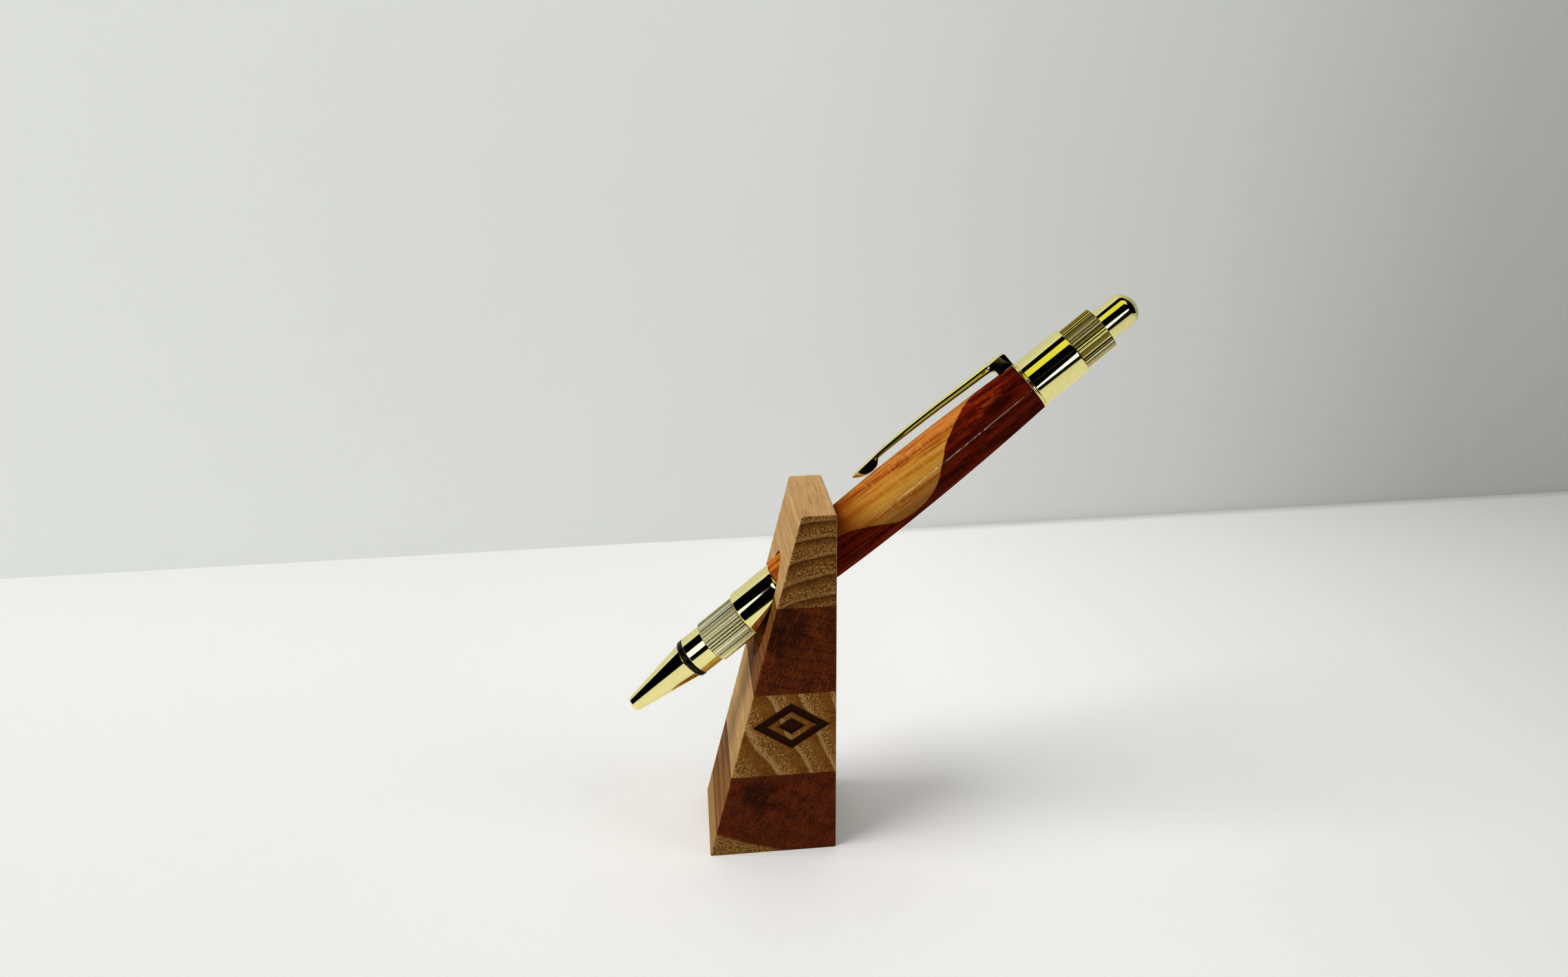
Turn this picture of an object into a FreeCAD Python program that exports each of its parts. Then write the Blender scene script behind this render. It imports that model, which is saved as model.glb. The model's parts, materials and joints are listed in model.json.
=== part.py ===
"""Click pen resting in an oblique bore through a tapered, laminated wooden stand.

Row frame: origin at the centre of the stand's base, +X towards the pen's button,
+Y away from the viewer, +Z up. Millimetres and degrees.

Pen pieces are drawn in the pen's own frame: +Z runs from the nib opening (station 0)
to the button, +X points to the clip's side. on_pen() puts them in the row frame.
"""
import FreeCAD, Part
import math
import os

from FreeCAD import Vector

# ---- stand ------------------------------------------------------------------
BOARD_THICKNESS = 20.0
BOARD_NODES = ["base_lamination", "lower_light_lamination", "upper_dark_lamination", "top_lamination"]
STAND_HEIGHT = BOARD_THICKNESS * len(BOARD_NODES)
STAND_WIDTH = 24.5
BASE_DEPTH = 28.1
TOP_DEPTH = 7.1
EDGE_BREAK = 0.5
BORE_RADIUS = 6.5
BORE_TILT = 44.0
MARK_NODE = "lower_light_lamination"
MARK_X = 4.4                    # centre of the burnt lozenge on the near face
MARK_Z = 32.2
MARK_HALF_WIDTH = 8.0
MARK_HALF_HEIGHT = 5.4
MARK_INNER_SHARE = 0.68         # inner edge of the outline, as a share of the outer
MARK_HEART_SHARE = 0.34         # size of the filled lozenge in the middle
MARK_DEPTH = 0.3

# ---- how the pen lies in the stand ------------------------------------------
PEN_TILT = 39.2
PEN_STATION_AT_BACK = 56.0      # the station where the pen's axis crosses the stand's back face
PEN_HEIGHT_AT_BACK = 67.8       # and the height of that crossing
BORE_RISE_AT_BACK = 0.5         # the bore's axis above the pen's axis, on the back face
CLIP_ROLL = 21.0                # the clip leans away from the viewer by this angle

# ---- pen, outside: stations along the axis and radii -------------------------
NIB_END = 16.55
NIB_TIP_RADIUS = 1.72
NIB_BASE_RADIUS = 4.24
NIB_EDGE = 0.45
TRIM_START = 16.6
TRIM_END = 18.0
TRIM_RADIUS = 4.55
COUPLER_END = 22.9
COUPLER_RADIUS = 4.53
LOWER_KNURL_START = 23.0
LOWER_KNURL_END = 32.5
LOWER_KNURL_RADIUS = 4.92
LOWER_BAND_START = 32.7
LOWER_BAND_END = 43.5
LOWER_BAND_RADIUS = 5.42
BARREL_START = 43.55
BARREL_END = 109.0
BARREL_FRONT_RADIUS = 5.55
BARREL_BELLY_STATION = 72.0
BARREL_BELLY_RADIUS = 6.5
BARREL_REAR_RADIUS = 5.42
CLIP_RING_END = 109.6
CLIP_RING_RADIUS = 5.52
UPPER_BAND_END = 120.3
UPPER_BAND_RADIUS = 5.4
UPPER_KNURL_END = 127.5
UPPER_KNURL_RADIUS = 4.8
BUTTON_RADIUS = 3.5
BUTTON_SHOULDER = 133.2
BUTTON_TOP = 135.7
BUTTON_CORNER = 1.6             # rounding between the button's side and its domed end
KNURL_TEETH = 42
KNURL_DEPTH = 0.26
KNURL_BEVEL = 0.35
SLIP = 0.05                     # gap between parts that only meet end to end

# ---- pen, inside --------------------------------------------------------------
TIP_HOLE_RADIUS = 1.25
TIP_HOLE_LENGTH = 7.8
SPRING_POCKET_RADIUS = 2.15
REFILL_BORE_RADIUS = 3.15
SPIGOT_RADIUS = 3.5
KNURL_SEAT_RADIUS = 4.0
THREAD_RADIUS = 3.75
THREAD_FIT = 0.06
THREAD_END = 40.8
BUSH_BODY_RADIUS = 4.75
FRONT_BUSH_START = 33.0
FRONT_BUSH_END = 52.0
TUBE_OUTER_RADIUS = 4.75
TUBE_INNER_RADIUS = 4.45
REAR_BUSH_START = 97.0
REAR_BUSH_END = 113.0
NECK_RADIUS = 4.2
HOUSING_START = 95.0
HOUSING_STEP = 113.2
HOUSING_END = 126.5
HOUSING_FRONT_RADIUS = 3.7
HOUSING_FRONT_BORE = 3.3
HOUSING_REAR_RADIUS = 4.9
HOUSING_REAR_BORE = 3.75
HOUSING_NECK_RADIUS = 4.3       # the knurled cap is seated here
BUTTON_SKIRT_START = 119.8
BUTTON_SKIRT_END = 126.4
BUTTON_SKIRT_RADIUS = 3.67
BUTTON_WALL = 0.3
PLUNGER_START = 109.7
PLUNGER_END = 127.0
PLUNGER_RADIUS = 3.2
PLUNGER_COLLAR_RADIUS = 3.6
PLUNGER_COLLAR_LENGTH = 1.35
PLUNGER_CROWN_BORE = 2.0
PLUNGER_STEM_BORE = 2.4
CAM_TEETH = 8
CAM_TOOTH_HEIGHT = 0.6
CAM_TOOTH_SHARE = 0.8           # part of the pitch that a tooth fills
RATCHET_END = 108.4
RATCHET_RADIUS = 2.55
RATCHET_BORE = 1.2
RATCHET_RIBS = 4
RATCHET_RIB_REACH = 3.2
RATCHET_RIB_WIDTH = 1.0
RATCHET_RIB_LENGTH = 4.0

# ---- refill and spring ----------------------------------------------------------
BALL_RADIUS = 0.35
REFILL_START = 3.0              # the ball's foremost point when the pen is retracted
REFILL_NOSE_RADIUS = 1.17
REFILL_NOSE_TAPER = 2.1
REFILL_INK_CHANNEL = 0.4
BALL_SEAT_RADIUS = 0.36
REFILL_SHOULDER = 20.0
REFILL_RADIUS = 2.9
REFILL_WALL = 0.3
REFILL_TUBE_END = 94.0
REFILL_PLUG_LENGTH = 3.0
REFILL_TIP_PLUG_LENGTH = 3.0
REFILL_COLLAR_LENGTH = 1.5
REFILL_PLUG_BORE = 1.2
REFILL_GROOVES = 4
REFILL_GROOVE_PITCH = 1.4
REFILL_GROOVE_WIDTH = 0.6
REFILL_GROOVE_DEPTH = 0.3
REFILL_END = 101.0
SPRING_START = 8.1
SPRING_END = 19.7
SPRING_COILS = 8
SPRING_MEAN_RADIUS = 1.75
SPRING_WIRE_RADIUS = 0.2

# ---- clip: stations and distances from the pen's axis ---------------------------
CLIP_BLOCK_START = 105.7
CLIP_BLOCK_END = 109.55
CLIP_PIVOT_GAP = 0.2
CLIP_ROOT_WIDTH = 3.2
CLIP_UNDERSIDE = 7.1
CLIP_CREST = 9.05
CLIP_SHARE_OF_SIDE = 0.45       # the sides reach this far up before the crest arches over
CLIP_ARM = [                    # station, width, underside, crest
    (CLIP_BLOCK_START - CLIP_PIVOT_GAP, CLIP_ROOT_WIDTH, CLIP_UNDERSIDE, CLIP_CREST),
    (98.2, 2.7, 7.3, 9.24),
    (91.7, 2.45, 7.6, 9.46),
    (85.0, 2.2, 7.8, 9.55),
    (78.6, 2.0, 8.05, 9.45),
    (75.2, 2.7, 8.1, 9.27),
    (72.6, 3.0, 8.15, 9.05),
    (70.4, 2.1, 8.2, 8.75),
    (69.4, 0.8, 8.25, 8.55),
]
CLIP_PAD_START = 69.7
CLIP_PAD_LOWEST = 73.2
CLIP_PAD_END = 76.5
CLIP_PAD_TOP = 8.3
CLIP_PAD_WIDTH = 1.7
CLIP_PAD_GAP = 0.15             # the pad stays this far off the wood


def pen_rotation():
    """The pen's own axes seen from the row frame."""
    tilt = math.radians(PEN_TILT)
    roll = math.radians(CLIP_ROLL)
    along = Vector(math.cos(tilt), 0, math.sin(tilt))
    above = Vector(-math.sin(tilt), 0, math.cos(tilt))
    clip_side = above * math.cos(roll) + Vector(0, 1, 0) * math.sin(roll)
    return FreeCAD.Rotation(clip_side, along.cross(clip_side), along, "ZXY")


def pen_origin():
    """The nib's opening, worked back from where the pen leaves the stand."""
    tilt = math.radians(PEN_TILT)
    along = Vector(math.cos(tilt), 0, math.sin(tilt))
    return Vector(BASE_DEPTH / 2, 0, PEN_HEIGHT_AT_BACK) - along * PEN_STATION_AT_BACK


def on_pen(shape):
    placed = shape.copy()
    placed.Placement = FreeCAD.Placement(pen_origin(), pen_rotation()).multiply(shape.Placement)
    return placed


def outline(points):
    """A closed wire in the XZ plane through (station, radius) points.

    A point written as ((station, radius), (station, radius)) is an arc: through the
    first pair, to the second.
    """
    def at(pair):
        return Vector(pair[1], 0, pair[0])

    edges = []
    here = at(points[0])
    for point in points[1:] + [points[0]]:
        if isinstance(point[0], tuple):
            middle = at(point[0])
            end = at(point[1])
            edges.append(Part.Arc(here, middle, end).toShape())
        else:
            end = at(point)
            edges.append(Part.LineSegment(here, end).toShape())
        here = end
    return Part.Wire(edges)


def turned(points):
    """A solid turned about the pen's axis."""
    face = Part.Face(outline(points))
    return face.revolve(Vector(0, 0, 0), Vector(0, 0, 1), 360)


def rounded(corner_station, corner_radius, size, rising):
    """The two entries of an outline that round an outer corner.

    rising is True where the outline climbs to the corner and then runs along it, and
    False where it runs along and then drops.
    """
    inset = size * (1 - math.sqrt(0.5))
    if rising:
        start = (corner_station, corner_radius - size)
        middle = (corner_station + inset, corner_radius - inset)
        end = (corner_station + size, corner_radius)
    else:
        start = (corner_station - size, corner_radius)
        middle = (corner_station - inset, corner_radius - inset)
        end = (corner_station, corner_radius - size)
    return [start, (middle, end)]


def sleeve(start, end, outer, inner, rounding=0.0):
    """A plain tube, with its two outer edges rounded when rounding is given."""
    if rounding:
        front = rounded(start, outer, rounding, True)
        rear = rounded(end, outer, rounding, False)
    else:
        front = [(start, outer)]
        rear = [(end, outer)]
    return turned([(start, inner)] + front + rear + [(end, inner)])


def fluted(body, start, end, radius):
    """Cut straight V flutes along a turned body, by keeping what lies inside a star."""
    corners = []
    for index in range(2 * KNURL_TEETH):
        angle = math.pi * index / KNURL_TEETH
        reach = radius + 0.02 if index % 2 == 0 else radius - KNURL_DEPTH
        corners.append(Vector(reach * math.cos(angle), reach * math.sin(angle), start))
    star = Part.Face(Part.makePolygon(corners + [corners[0]]))
    return body.common(star.extrude(Vector(0, 0, end - start)))


# ---- stand ------------------------------------------------------------------
def bore_axis_line():
    """A point on the bore's axis, on the stand's back face, and its direction."""
    tilt = math.radians(BORE_TILT)
    direction = Vector(math.cos(tilt), 0, math.sin(tilt))
    return Vector(BASE_DEPTH / 2, 0, PEN_HEIGHT_AT_BACK + BORE_RISE_AT_BACK), direction


def lozenge(share):
    """A rhombus plate that reaches MARK_DEPTH into the near face."""
    near = -STAND_WIDTH / 2
    wide = MARK_HALF_WIDTH * share
    high = MARK_HALF_HEIGHT * share
    corners = [
        Vector(MARK_X - wide, near, MARK_Z),
        Vector(MARK_X, near, MARK_Z - high),
        Vector(MARK_X + wide, near, MARK_Z),
        Vector(MARK_X, near, MARK_Z + high),
    ]
    return Part.Face(Part.makePolygon(corners + [corners[0]])).extrude(Vector(0, MARK_DEPTH, 0))


def stand_boards():
    """The wedge with its edges broken and its bore drilled, cut along the glue lines."""
    half = BASE_DEPTH / 2
    near = -STAND_WIDTH / 2
    corners = [
        Vector(-half, near, 0),
        Vector(half, near, 0),
        Vector(half, near, STAND_HEIGHT),
        Vector(half - TOP_DEPTH, near, STAND_HEIGHT),
    ]
    wedge = Part.Face(Part.makePolygon(corners + [corners[0]])).extrude(Vector(0, STAND_WIDTH, 0))
    upper_edges = [edge for edge in wedge.Edges if edge.BoundBox.ZMax > 1.0]
    wedge = wedge.makeFillet(EDGE_BREAK, upper_edges)
    point, direction = bore_axis_line()
    reach = BASE_DEPTH * 2
    bore = Part.makeCylinder(BORE_RADIUS, 2 * reach, point - direction * reach, direction)
    drilled = wedge.cut(bore)
    boards = {}
    for index, node in enumerate(BOARD_NODES):
        slab = Part.makeBox(
            2 * BASE_DEPTH,
            2 * STAND_WIDTH,
            BOARD_THICKNESS,
            Vector(-BASE_DEPTH, -STAND_WIDTH, index * BOARD_THICKNESS),
        )
        boards[node] = drilled.common(slab)
    outline_plate = lozenge(1).cut(lozenge(MARK_INNER_SHARE))
    boards[MARK_NODE] = boards[MARK_NODE].cut(outline_plate).cut(lozenge(MARK_HEART_SHARE))
    return boards


# ---- nib assembly: turns as one when it is unscrewed ---------------------------
def nib_cone():
    """Hollow cone with a flat, rounded end; the coupler's spigot is pressed in its rear."""
    spigot_start = NIB_END - 2.0
    corner = NIB_EDGE * 0.3
    return turned([
        (0, TIP_HOLE_RADIUS),
        (0, NIB_TIP_RADIUS - NIB_EDGE),
        ((corner, NIB_TIP_RADIUS - corner), (NIB_EDGE, NIB_TIP_RADIUS + 0.07)),
        (NIB_END - 0.25, NIB_BASE_RADIUS),
        (NIB_END, NIB_BASE_RADIUS - 0.25),
        (NIB_END, SPIGOT_RADIUS),
        (spigot_start, SPIGOT_RADIUS),
        (spigot_start, SPRING_POCKET_RADIUS),
        (TIP_HOLE_LENGTH, SPRING_POCKET_RADIUS),
        (TIP_HOLE_LENGTH, TIP_HOLE_RADIUS),
    ])


def front_coupler():
    """Polished collar, with a spigot for the nib, a seat for the knurl and a thread."""
    spigot_start = NIB_END - 1.95
    return turned([
        (spigot_start, REFILL_BORE_RADIUS),
        (spigot_start, SPIGOT_RADIUS),
        (TRIM_END, SPIGOT_RADIUS),
        (TRIM_END, COUPLER_RADIUS - 0.1),
        (TRIM_END + 0.1, COUPLER_RADIUS),
        (COUPLER_END, COUPLER_RADIUS),
        (COUPLER_END, KNURL_SEAT_RADIUS),
        (LOWER_KNURL_END, KNURL_SEAT_RADIUS),
        (LOWER_KNURL_END, THREAD_RADIUS),
        (THREAD_END, THREAD_RADIUS),
        (THREAD_END, REFILL_BORE_RADIUS),
    ])


def lower_knurled_ring():
    ring = turned([
        (LOWER_KNURL_START, KNURL_SEAT_RADIUS),
        (LOWER_KNURL_START, LOWER_KNURL_RADIUS - 0.2),
        (LOWER_KNURL_START + KNURL_BEVEL, LOWER_KNURL_RADIUS),
        (LOWER_KNURL_END - KNURL_BEVEL, LOWER_KNURL_RADIUS),
        (LOWER_KNURL_END, LOWER_KNURL_RADIUS - 0.2),
        (LOWER_KNURL_END, KNURL_SEAT_RADIUS),
    ])
    return fluted(ring, LOWER_KNURL_START, LOWER_KNURL_END, LOWER_KNURL_RADIUS)


# ---- barrel assembly -------------------------------------------------------------
def front_threaded_bush():
    """Pressed in the brass tube; the lower band sits on its body, the nib screws into it."""
    thread_bore = THREAD_RADIUS + THREAD_FIT
    thread_stop = THREAD_END + 0.4
    return turned([
        (FRONT_BUSH_START, thread_bore),
        (FRONT_BUSH_START, BUSH_BODY_RADIUS),
        (BARREL_START, BUSH_BODY_RADIUS),
        (BARREL_START, TUBE_INNER_RADIUS),
        (FRONT_BUSH_END, TUBE_INNER_RADIUS),
        (FRONT_BUSH_END, REFILL_BORE_RADIUS + 0.1),
        (thread_stop, REFILL_BORE_RADIUS + 0.1),
        (thread_stop, thread_bore),
    ])


def lower_band():
    """Polished band with a rounded front shoulder and a small lip against the wood."""
    lip = 0.6
    return turned(
        [(LOWER_BAND_START, BUSH_BODY_RADIUS)]
        + rounded(LOWER_BAND_START, LOWER_BAND_RADIUS, 0.45, True)
        + [
            (LOWER_BAND_END - 2 * lip, LOWER_BAND_RADIUS),
            (LOWER_BAND_END - lip, LOWER_BAND_RADIUS + 0.06),
            ((LOWER_BAND_END - lip / 3, LOWER_BAND_RADIUS), (LOWER_BAND_END, LOWER_BAND_RADIUS - 0.25)),
            (LOWER_BAND_END, BUSH_BODY_RADIUS),
        ]
    )


def barrel_radius(station):
    """Outer radius of the wood: two arcs that meet at the belly."""
    if station < BARREL_BELLY_STATION:
        run = BARREL_BELLY_STATION - BARREL_START
        drop = BARREL_BELLY_RADIUS - BARREL_FRONT_RADIUS
    else:
        run = BARREL_END - BARREL_BELLY_STATION
        drop = BARREL_BELLY_RADIUS - BARREL_REAR_RADIUS
    bend = (run * run + drop * drop) / (2 * drop)
    offset = station - BARREL_BELLY_STATION
    return BARREL_BELLY_RADIUS - bend + math.sqrt(bend * bend - offset * offset)


def wood_barrel():
    front_middle = (BARREL_START + BARREL_BELLY_STATION) / 2
    rear_middle = (BARREL_END + BARREL_BELLY_STATION) / 2
    return turned([
        (BARREL_START, TUBE_OUTER_RADIUS),
        (BARREL_START, BARREL_FRONT_RADIUS),
        ((front_middle, barrel_radius(front_middle)), (BARREL_BELLY_STATION, BARREL_BELLY_RADIUS)),
        ((rear_middle, barrel_radius(rear_middle)), (BARREL_END, BARREL_REAR_RADIUS)),
        (BARREL_END, TUBE_OUTER_RADIUS),
    ])


def rear_threaded_bush():
    """Pressed in the tube's rear; its neck carries the clip ring and the upper band."""
    return turned([
        (REAR_BUSH_START, HOUSING_FRONT_RADIUS),
        (REAR_BUSH_START, TUBE_INNER_RADIUS),
        (BARREL_END, TUBE_INNER_RADIUS),
        (BARREL_END, NECK_RADIUS),
        (REAR_BUSH_END, NECK_RADIUS),
        (REAR_BUSH_END, HOUSING_FRONT_RADIUS),
    ])


def upper_band():
    """Thin polished shell, stepped in at the front where it grips the bush's neck."""
    web_end = REAR_BUSH_END + 0.1
    front_web = CLIP_RING_END + 1.2
    return turned(
        [(CLIP_RING_END, NECK_RADIUS)]
        + rounded(CLIP_RING_END, UPPER_BAND_RADIUS, 0.2, True)
        + rounded(UPPER_BAND_END, UPPER_BAND_RADIUS, 0.3, False)
        + [
            (UPPER_BAND_END, HOUSING_REAR_RADIUS),
            (web_end, HOUSING_REAR_RADIUS),
            (web_end, HOUSING_REAR_RADIUS - SLIP),
            (front_web, HOUSING_REAR_RADIUS - SLIP),
            (front_web, NECK_RADIUS),
        ]
    )


def upper_knurled_ring():
    """Knurled cap with a lip at the rear that keeps the button in."""
    start = UPPER_BAND_END + SLIP
    lip_start = HOUSING_END + SLIP
    lip_bore = BUTTON_RADIUS + 0.08
    ring = turned([
        (start, HOUSING_NECK_RADIUS),
        (start, UPPER_KNURL_RADIUS - 0.25),
        (start + KNURL_BEVEL, UPPER_KNURL_RADIUS),
        (UPPER_KNURL_END - KNURL_BEVEL, UPPER_KNURL_RADIUS),
        (UPPER_KNURL_END, UPPER_KNURL_RADIUS - 0.25),
        (UPPER_KNURL_END, lip_bore),
        (lip_start, lip_bore),
        (lip_start, HOUSING_NECK_RADIUS),
    ])
    return fluted(ring, UPPER_BAND_END, UPPER_KNURL_END, UPPER_KNURL_RADIUS)


def mechanism_housing():
    """Moulded guide for the click mechanism: narrow bore for the cams, wide for the button."""
    collar_end = UPPER_BAND_END - SLIP
    return turned([
        (HOUSING_START, HOUSING_FRONT_BORE),
        (HOUSING_START, HOUSING_FRONT_RADIUS),
        (HOUSING_STEP, HOUSING_FRONT_RADIUS),
        (HOUSING_STEP, HOUSING_REAR_RADIUS),
        (collar_end, HOUSING_REAR_RADIUS),
        (collar_end, HOUSING_NECK_RADIUS),
        (HOUSING_END, HOUSING_NECK_RADIUS),
        (HOUSING_END, HOUSING_REAR_BORE),
        (HOUSING_STEP, HOUSING_REAR_BORE),
        (HOUSING_STEP, HOUSING_FRONT_BORE),
    ])


# ---- clip ------------------------------------------------------------------------
def clip_section(station, width, bottom, top):
    """Cross-section of the clip's arm: flat underside, short sides and an arched crest."""
    side = bottom + CLIP_SHARE_OF_SIDE * (top - bottom)
    left = Vector(side, -width / 2, station)
    right = Vector(side, width / 2, station)
    edges = [
        Part.LineSegment(left, Vector(bottom, -width / 2, station)).toShape(),
        Part.LineSegment(Vector(bottom, -width / 2, station), Vector(bottom, width / 2, station)).toShape(),
        Part.LineSegment(Vector(bottom, width / 2, station), right).toShape(),
        Part.Arc(right, Vector(top, 0, station), left).toShape(),
    ]
    return Part.Wire(edges)


def clip_ring():
    """Washer clamped between the wood and the upper band, with the block that holds the arm."""
    washer = sleeve(BARREL_END, CLIP_RING_END, CLIP_RING_RADIUS, NECK_RADIUS, 0.2)
    half = CLIP_ROOT_WIDTH / 2
    foot = barrel_radius(CLIP_BLOCK_START) + SLIP
    profile = [
        Vector(foot, 0, CLIP_BLOCK_START),
        Vector(CLIP_CREST, 0, CLIP_BLOCK_START),
        Vector(CLIP_CREST - 0.1, 0, CLIP_BLOCK_START + 1.2),
        Vector(CLIP_CREST - 0.9, 0, CLIP_BLOCK_END - 0.35),
        Vector(CLIP_CREST - 1.4, 0, CLIP_BLOCK_END),
        Vector(TUBE_OUTER_RADIUS, 0, CLIP_BLOCK_END),
        Vector(TUBE_OUTER_RADIUS, 0, BARREL_END + SLIP),
        Vector(foot, 0, BARREL_END + SLIP),
    ]
    block = Part.Face(Part.makePolygon(profile + [profile[0]])).extrude(Vector(0, CLIP_ROOT_WIDTH, 0))
    block.translate(Vector(0, -half, 0))
    crown = Part.Face(clip_section(CLIP_BLOCK_START, CLIP_ROOT_WIDTH, TUBE_OUTER_RADIUS - 1, CLIP_CREST))
    crown = crown.extrude(Vector(0, 0, CLIP_BLOCK_END - CLIP_BLOCK_START + 1))
    return washer.fuse(block.common(crown)).removeSplitter()


def clip_pad():
    """The bulge under the tip: a slice of a disc that almost touches the wood."""
    front = Vector(CLIP_PAD_TOP, 0, CLIP_PAD_START)
    lowest = Vector(barrel_radius(CLIP_PAD_LOWEST) + CLIP_PAD_GAP, 0, CLIP_PAD_LOWEST)
    rear = Vector(CLIP_PAD_TOP, 0, CLIP_PAD_END)
    edges = [Part.Arc(front, lowest, rear).toShape(), Part.LineSegment(rear, front).toShape()]
    pad = Part.Face(Part.Wire(edges)).extrude(Vector(0, CLIP_PAD_WIDTH, 0))
    pad.translate(Vector(0, -CLIP_PAD_WIDTH / 2, 0))
    return pad


def clip_arm():
    """Slender bowed arm that ends in a spear-shaped tip with a round pad under it."""
    arm = Part.makeLoft([clip_section(*section) for section in CLIP_ARM], True, False)
    return arm.fuse(clip_pad()).removeSplitter()


# ---- click mechanism ------------------------------------------------------------
def button_dome(inset):
    """Outline of the domed end, from side to axis: a corner arc that runs into a flatter cap.

    inset moves it inwards, for the inside of the wall.
    """
    corner_centre = BUTTON_RADIUS - BUTTON_CORNER
    height = BUTTON_TOP - BUTTON_SHOULDER
    cap_radius = (corner_centre ** 2 + height ** 2 - BUTTON_CORNER ** 2) / (2 * (height - BUTTON_CORNER))
    meeting_angle = math.acos(corner_centre / (cap_radius - BUTTON_CORNER))

    def corner(angle):
        size = BUTTON_CORNER - inset
        return (BUTTON_SHOULDER + size * math.sin(angle), corner_centre + size * math.cos(angle))

    def cap(angle):
        size = cap_radius - inset
        return (BUTTON_TOP - cap_radius + size * math.sin(angle), size * math.cos(angle))

    top = (BUTTON_TOP - inset, 0)
    return [
        corner(0),
        (corner(meeting_angle / 2), corner(meeting_angle)),
        (cap((meeting_angle + math.pi / 2) / 2), top),
    ]


def push_button():
    """Thin domed cap with a wider skirt that cannot pass the knurled cap's lip."""
    inner = BUTTON_RADIUS - BUTTON_WALL
    outside = turned(
        [(BUTTON_SKIRT_START, 0), (BUTTON_SKIRT_START, BUTTON_SKIRT_RADIUS)]
        + [(BUTTON_SKIRT_END, BUTTON_SKIRT_RADIUS), (BUTTON_SKIRT_END, BUTTON_RADIUS)]
        + button_dome(0)
    )
    hollow = turned([(BUTTON_SKIRT_START, 0), (BUTTON_SKIRT_START, inner)] + button_dome(BUTTON_WALL))
    return outside.cut(hollow)


def crown_teeth(start, outer, inner, towards):
    """A ring of small wedges on the end of a cam; towards is +1 or -1 along the axis."""
    teeth = []
    step = 360.0 / CAM_TEETH
    for index in range(CAM_TEETH):
        low = Vector(inner, 0, start)
        tip = Vector(inner, 0, start + towards * CAM_TOOTH_HEIGHT)
        width = outer - inner
        wedge = Part.Face(
            Part.makePolygon([
                low,
                low + Vector(0, inner * math.radians(step) * CAM_TOOTH_SHARE, 0),
                tip,
                low,
            ])
        ).extrude(Vector(width, 0, 0))
        wedge.rotate(Vector(0, 0, 0), Vector(0, 0, 1), index * step)
        teeth.append(wedge)
    return teeth


def plunger_cam():
    """Crown cam under the button: its stem sits in the button, its teeth face the ratchet."""
    collar_end = BUTTON_SKIRT_START - SLIP
    collar_start = collar_end - PLUNGER_COLLAR_LENGTH
    stem_radius = BUTTON_RADIUS - BUTTON_WALL
    bore_step = PLUNGER_START + 4.0
    body = turned([
        (PLUNGER_START, PLUNGER_CROWN_BORE),
        (PLUNGER_START, PLUNGER_RADIUS),
        (collar_start, PLUNGER_RADIUS),
        (collar_start, PLUNGER_COLLAR_RADIUS),
        (collar_end, PLUNGER_COLLAR_RADIUS),
        (collar_end, stem_radius),
        (PLUNGER_END, stem_radius),
        (PLUNGER_END, PLUNGER_STEM_BORE),
        (bore_step, PLUNGER_STEM_BORE),
        (bore_step, PLUNGER_CROWN_BORE),
    ])
    teeth = crown_teeth(PLUNGER_START + 0.01, PLUNGER_RADIUS - 0.25, PLUNGER_CROWN_BORE + 0.05, -1)
    return body.multiFuse(teeth).removeSplitter()


def ratchet_cam():
    """Indexing rotor on the refill's end, with four guide ribs and slanted teeth."""
    rotor = sleeve(REFILL_END + SLIP, RATCHET_END, RATCHET_RADIUS, RATCHET_BORE)
    rib_root = RATCHET_RADIUS - 0.25
    ribs = []
    for index in range(RATCHET_RIBS):
        corner = Vector(rib_root, -RATCHET_RIB_WIDTH / 2, RATCHET_END - RATCHET_RIB_LENGTH - 0.6)
        rib = Part.makeBox(RATCHET_RIB_REACH - rib_root, RATCHET_RIB_WIDTH, RATCHET_RIB_LENGTH, corner)
        rib.rotate(Vector(0, 0, 0), Vector(0, 0, 1), index * 360.0 / RATCHET_RIBS)
        ribs.append(rib)
    teeth = crown_teeth(RATCHET_END - 0.01, RATCHET_RADIUS - 0.1, RATCHET_BORE + 0.1, 1)
    return rotor.multiFuse(ribs + teeth).removeSplitter()


# ---- refill ----------------------------------------------------------------------
def refill_ball():
    return Part.makeSphere(BALL_RADIUS, Vector(0, 0, REFILL_START + BALL_RADIUS))


def refill_tip():
    """Brass point: a cone that holds the ball, a straight nose and a plug for the tube."""
    socket = REFILL_START + 1.2 * BALL_RADIUS
    tube_start = REFILL_SHOULDER + REFILL_COLLAR_LENGTH
    plug_end = tube_start + REFILL_TIP_PLUG_LENGTH
    return turned([
        (socket, BALL_SEAT_RADIUS),
        (socket + REFILL_NOSE_TAPER, REFILL_NOSE_RADIUS),
        (REFILL_SHOULDER, REFILL_NOSE_RADIUS),
        (REFILL_SHOULDER, REFILL_RADIUS - 0.15),
        (REFILL_SHOULDER + 0.6, REFILL_RADIUS),
        (tube_start, REFILL_RADIUS),
        (tube_start, REFILL_RADIUS - REFILL_WALL),
        (plug_end, REFILL_RADIUS - REFILL_WALL),
        (plug_end, REFILL_INK_CHANNEL),
        (socket + 1.0, REFILL_INK_CHANNEL),
        (socket + 0.6, BALL_SEAT_RADIUS),
    ])


def refill_tube():
    start = REFILL_SHOULDER + REFILL_COLLAR_LENGTH
    return sleeve(start, REFILL_TUBE_END, REFILL_RADIUS, REFILL_RADIUS - REFILL_WALL)


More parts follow.
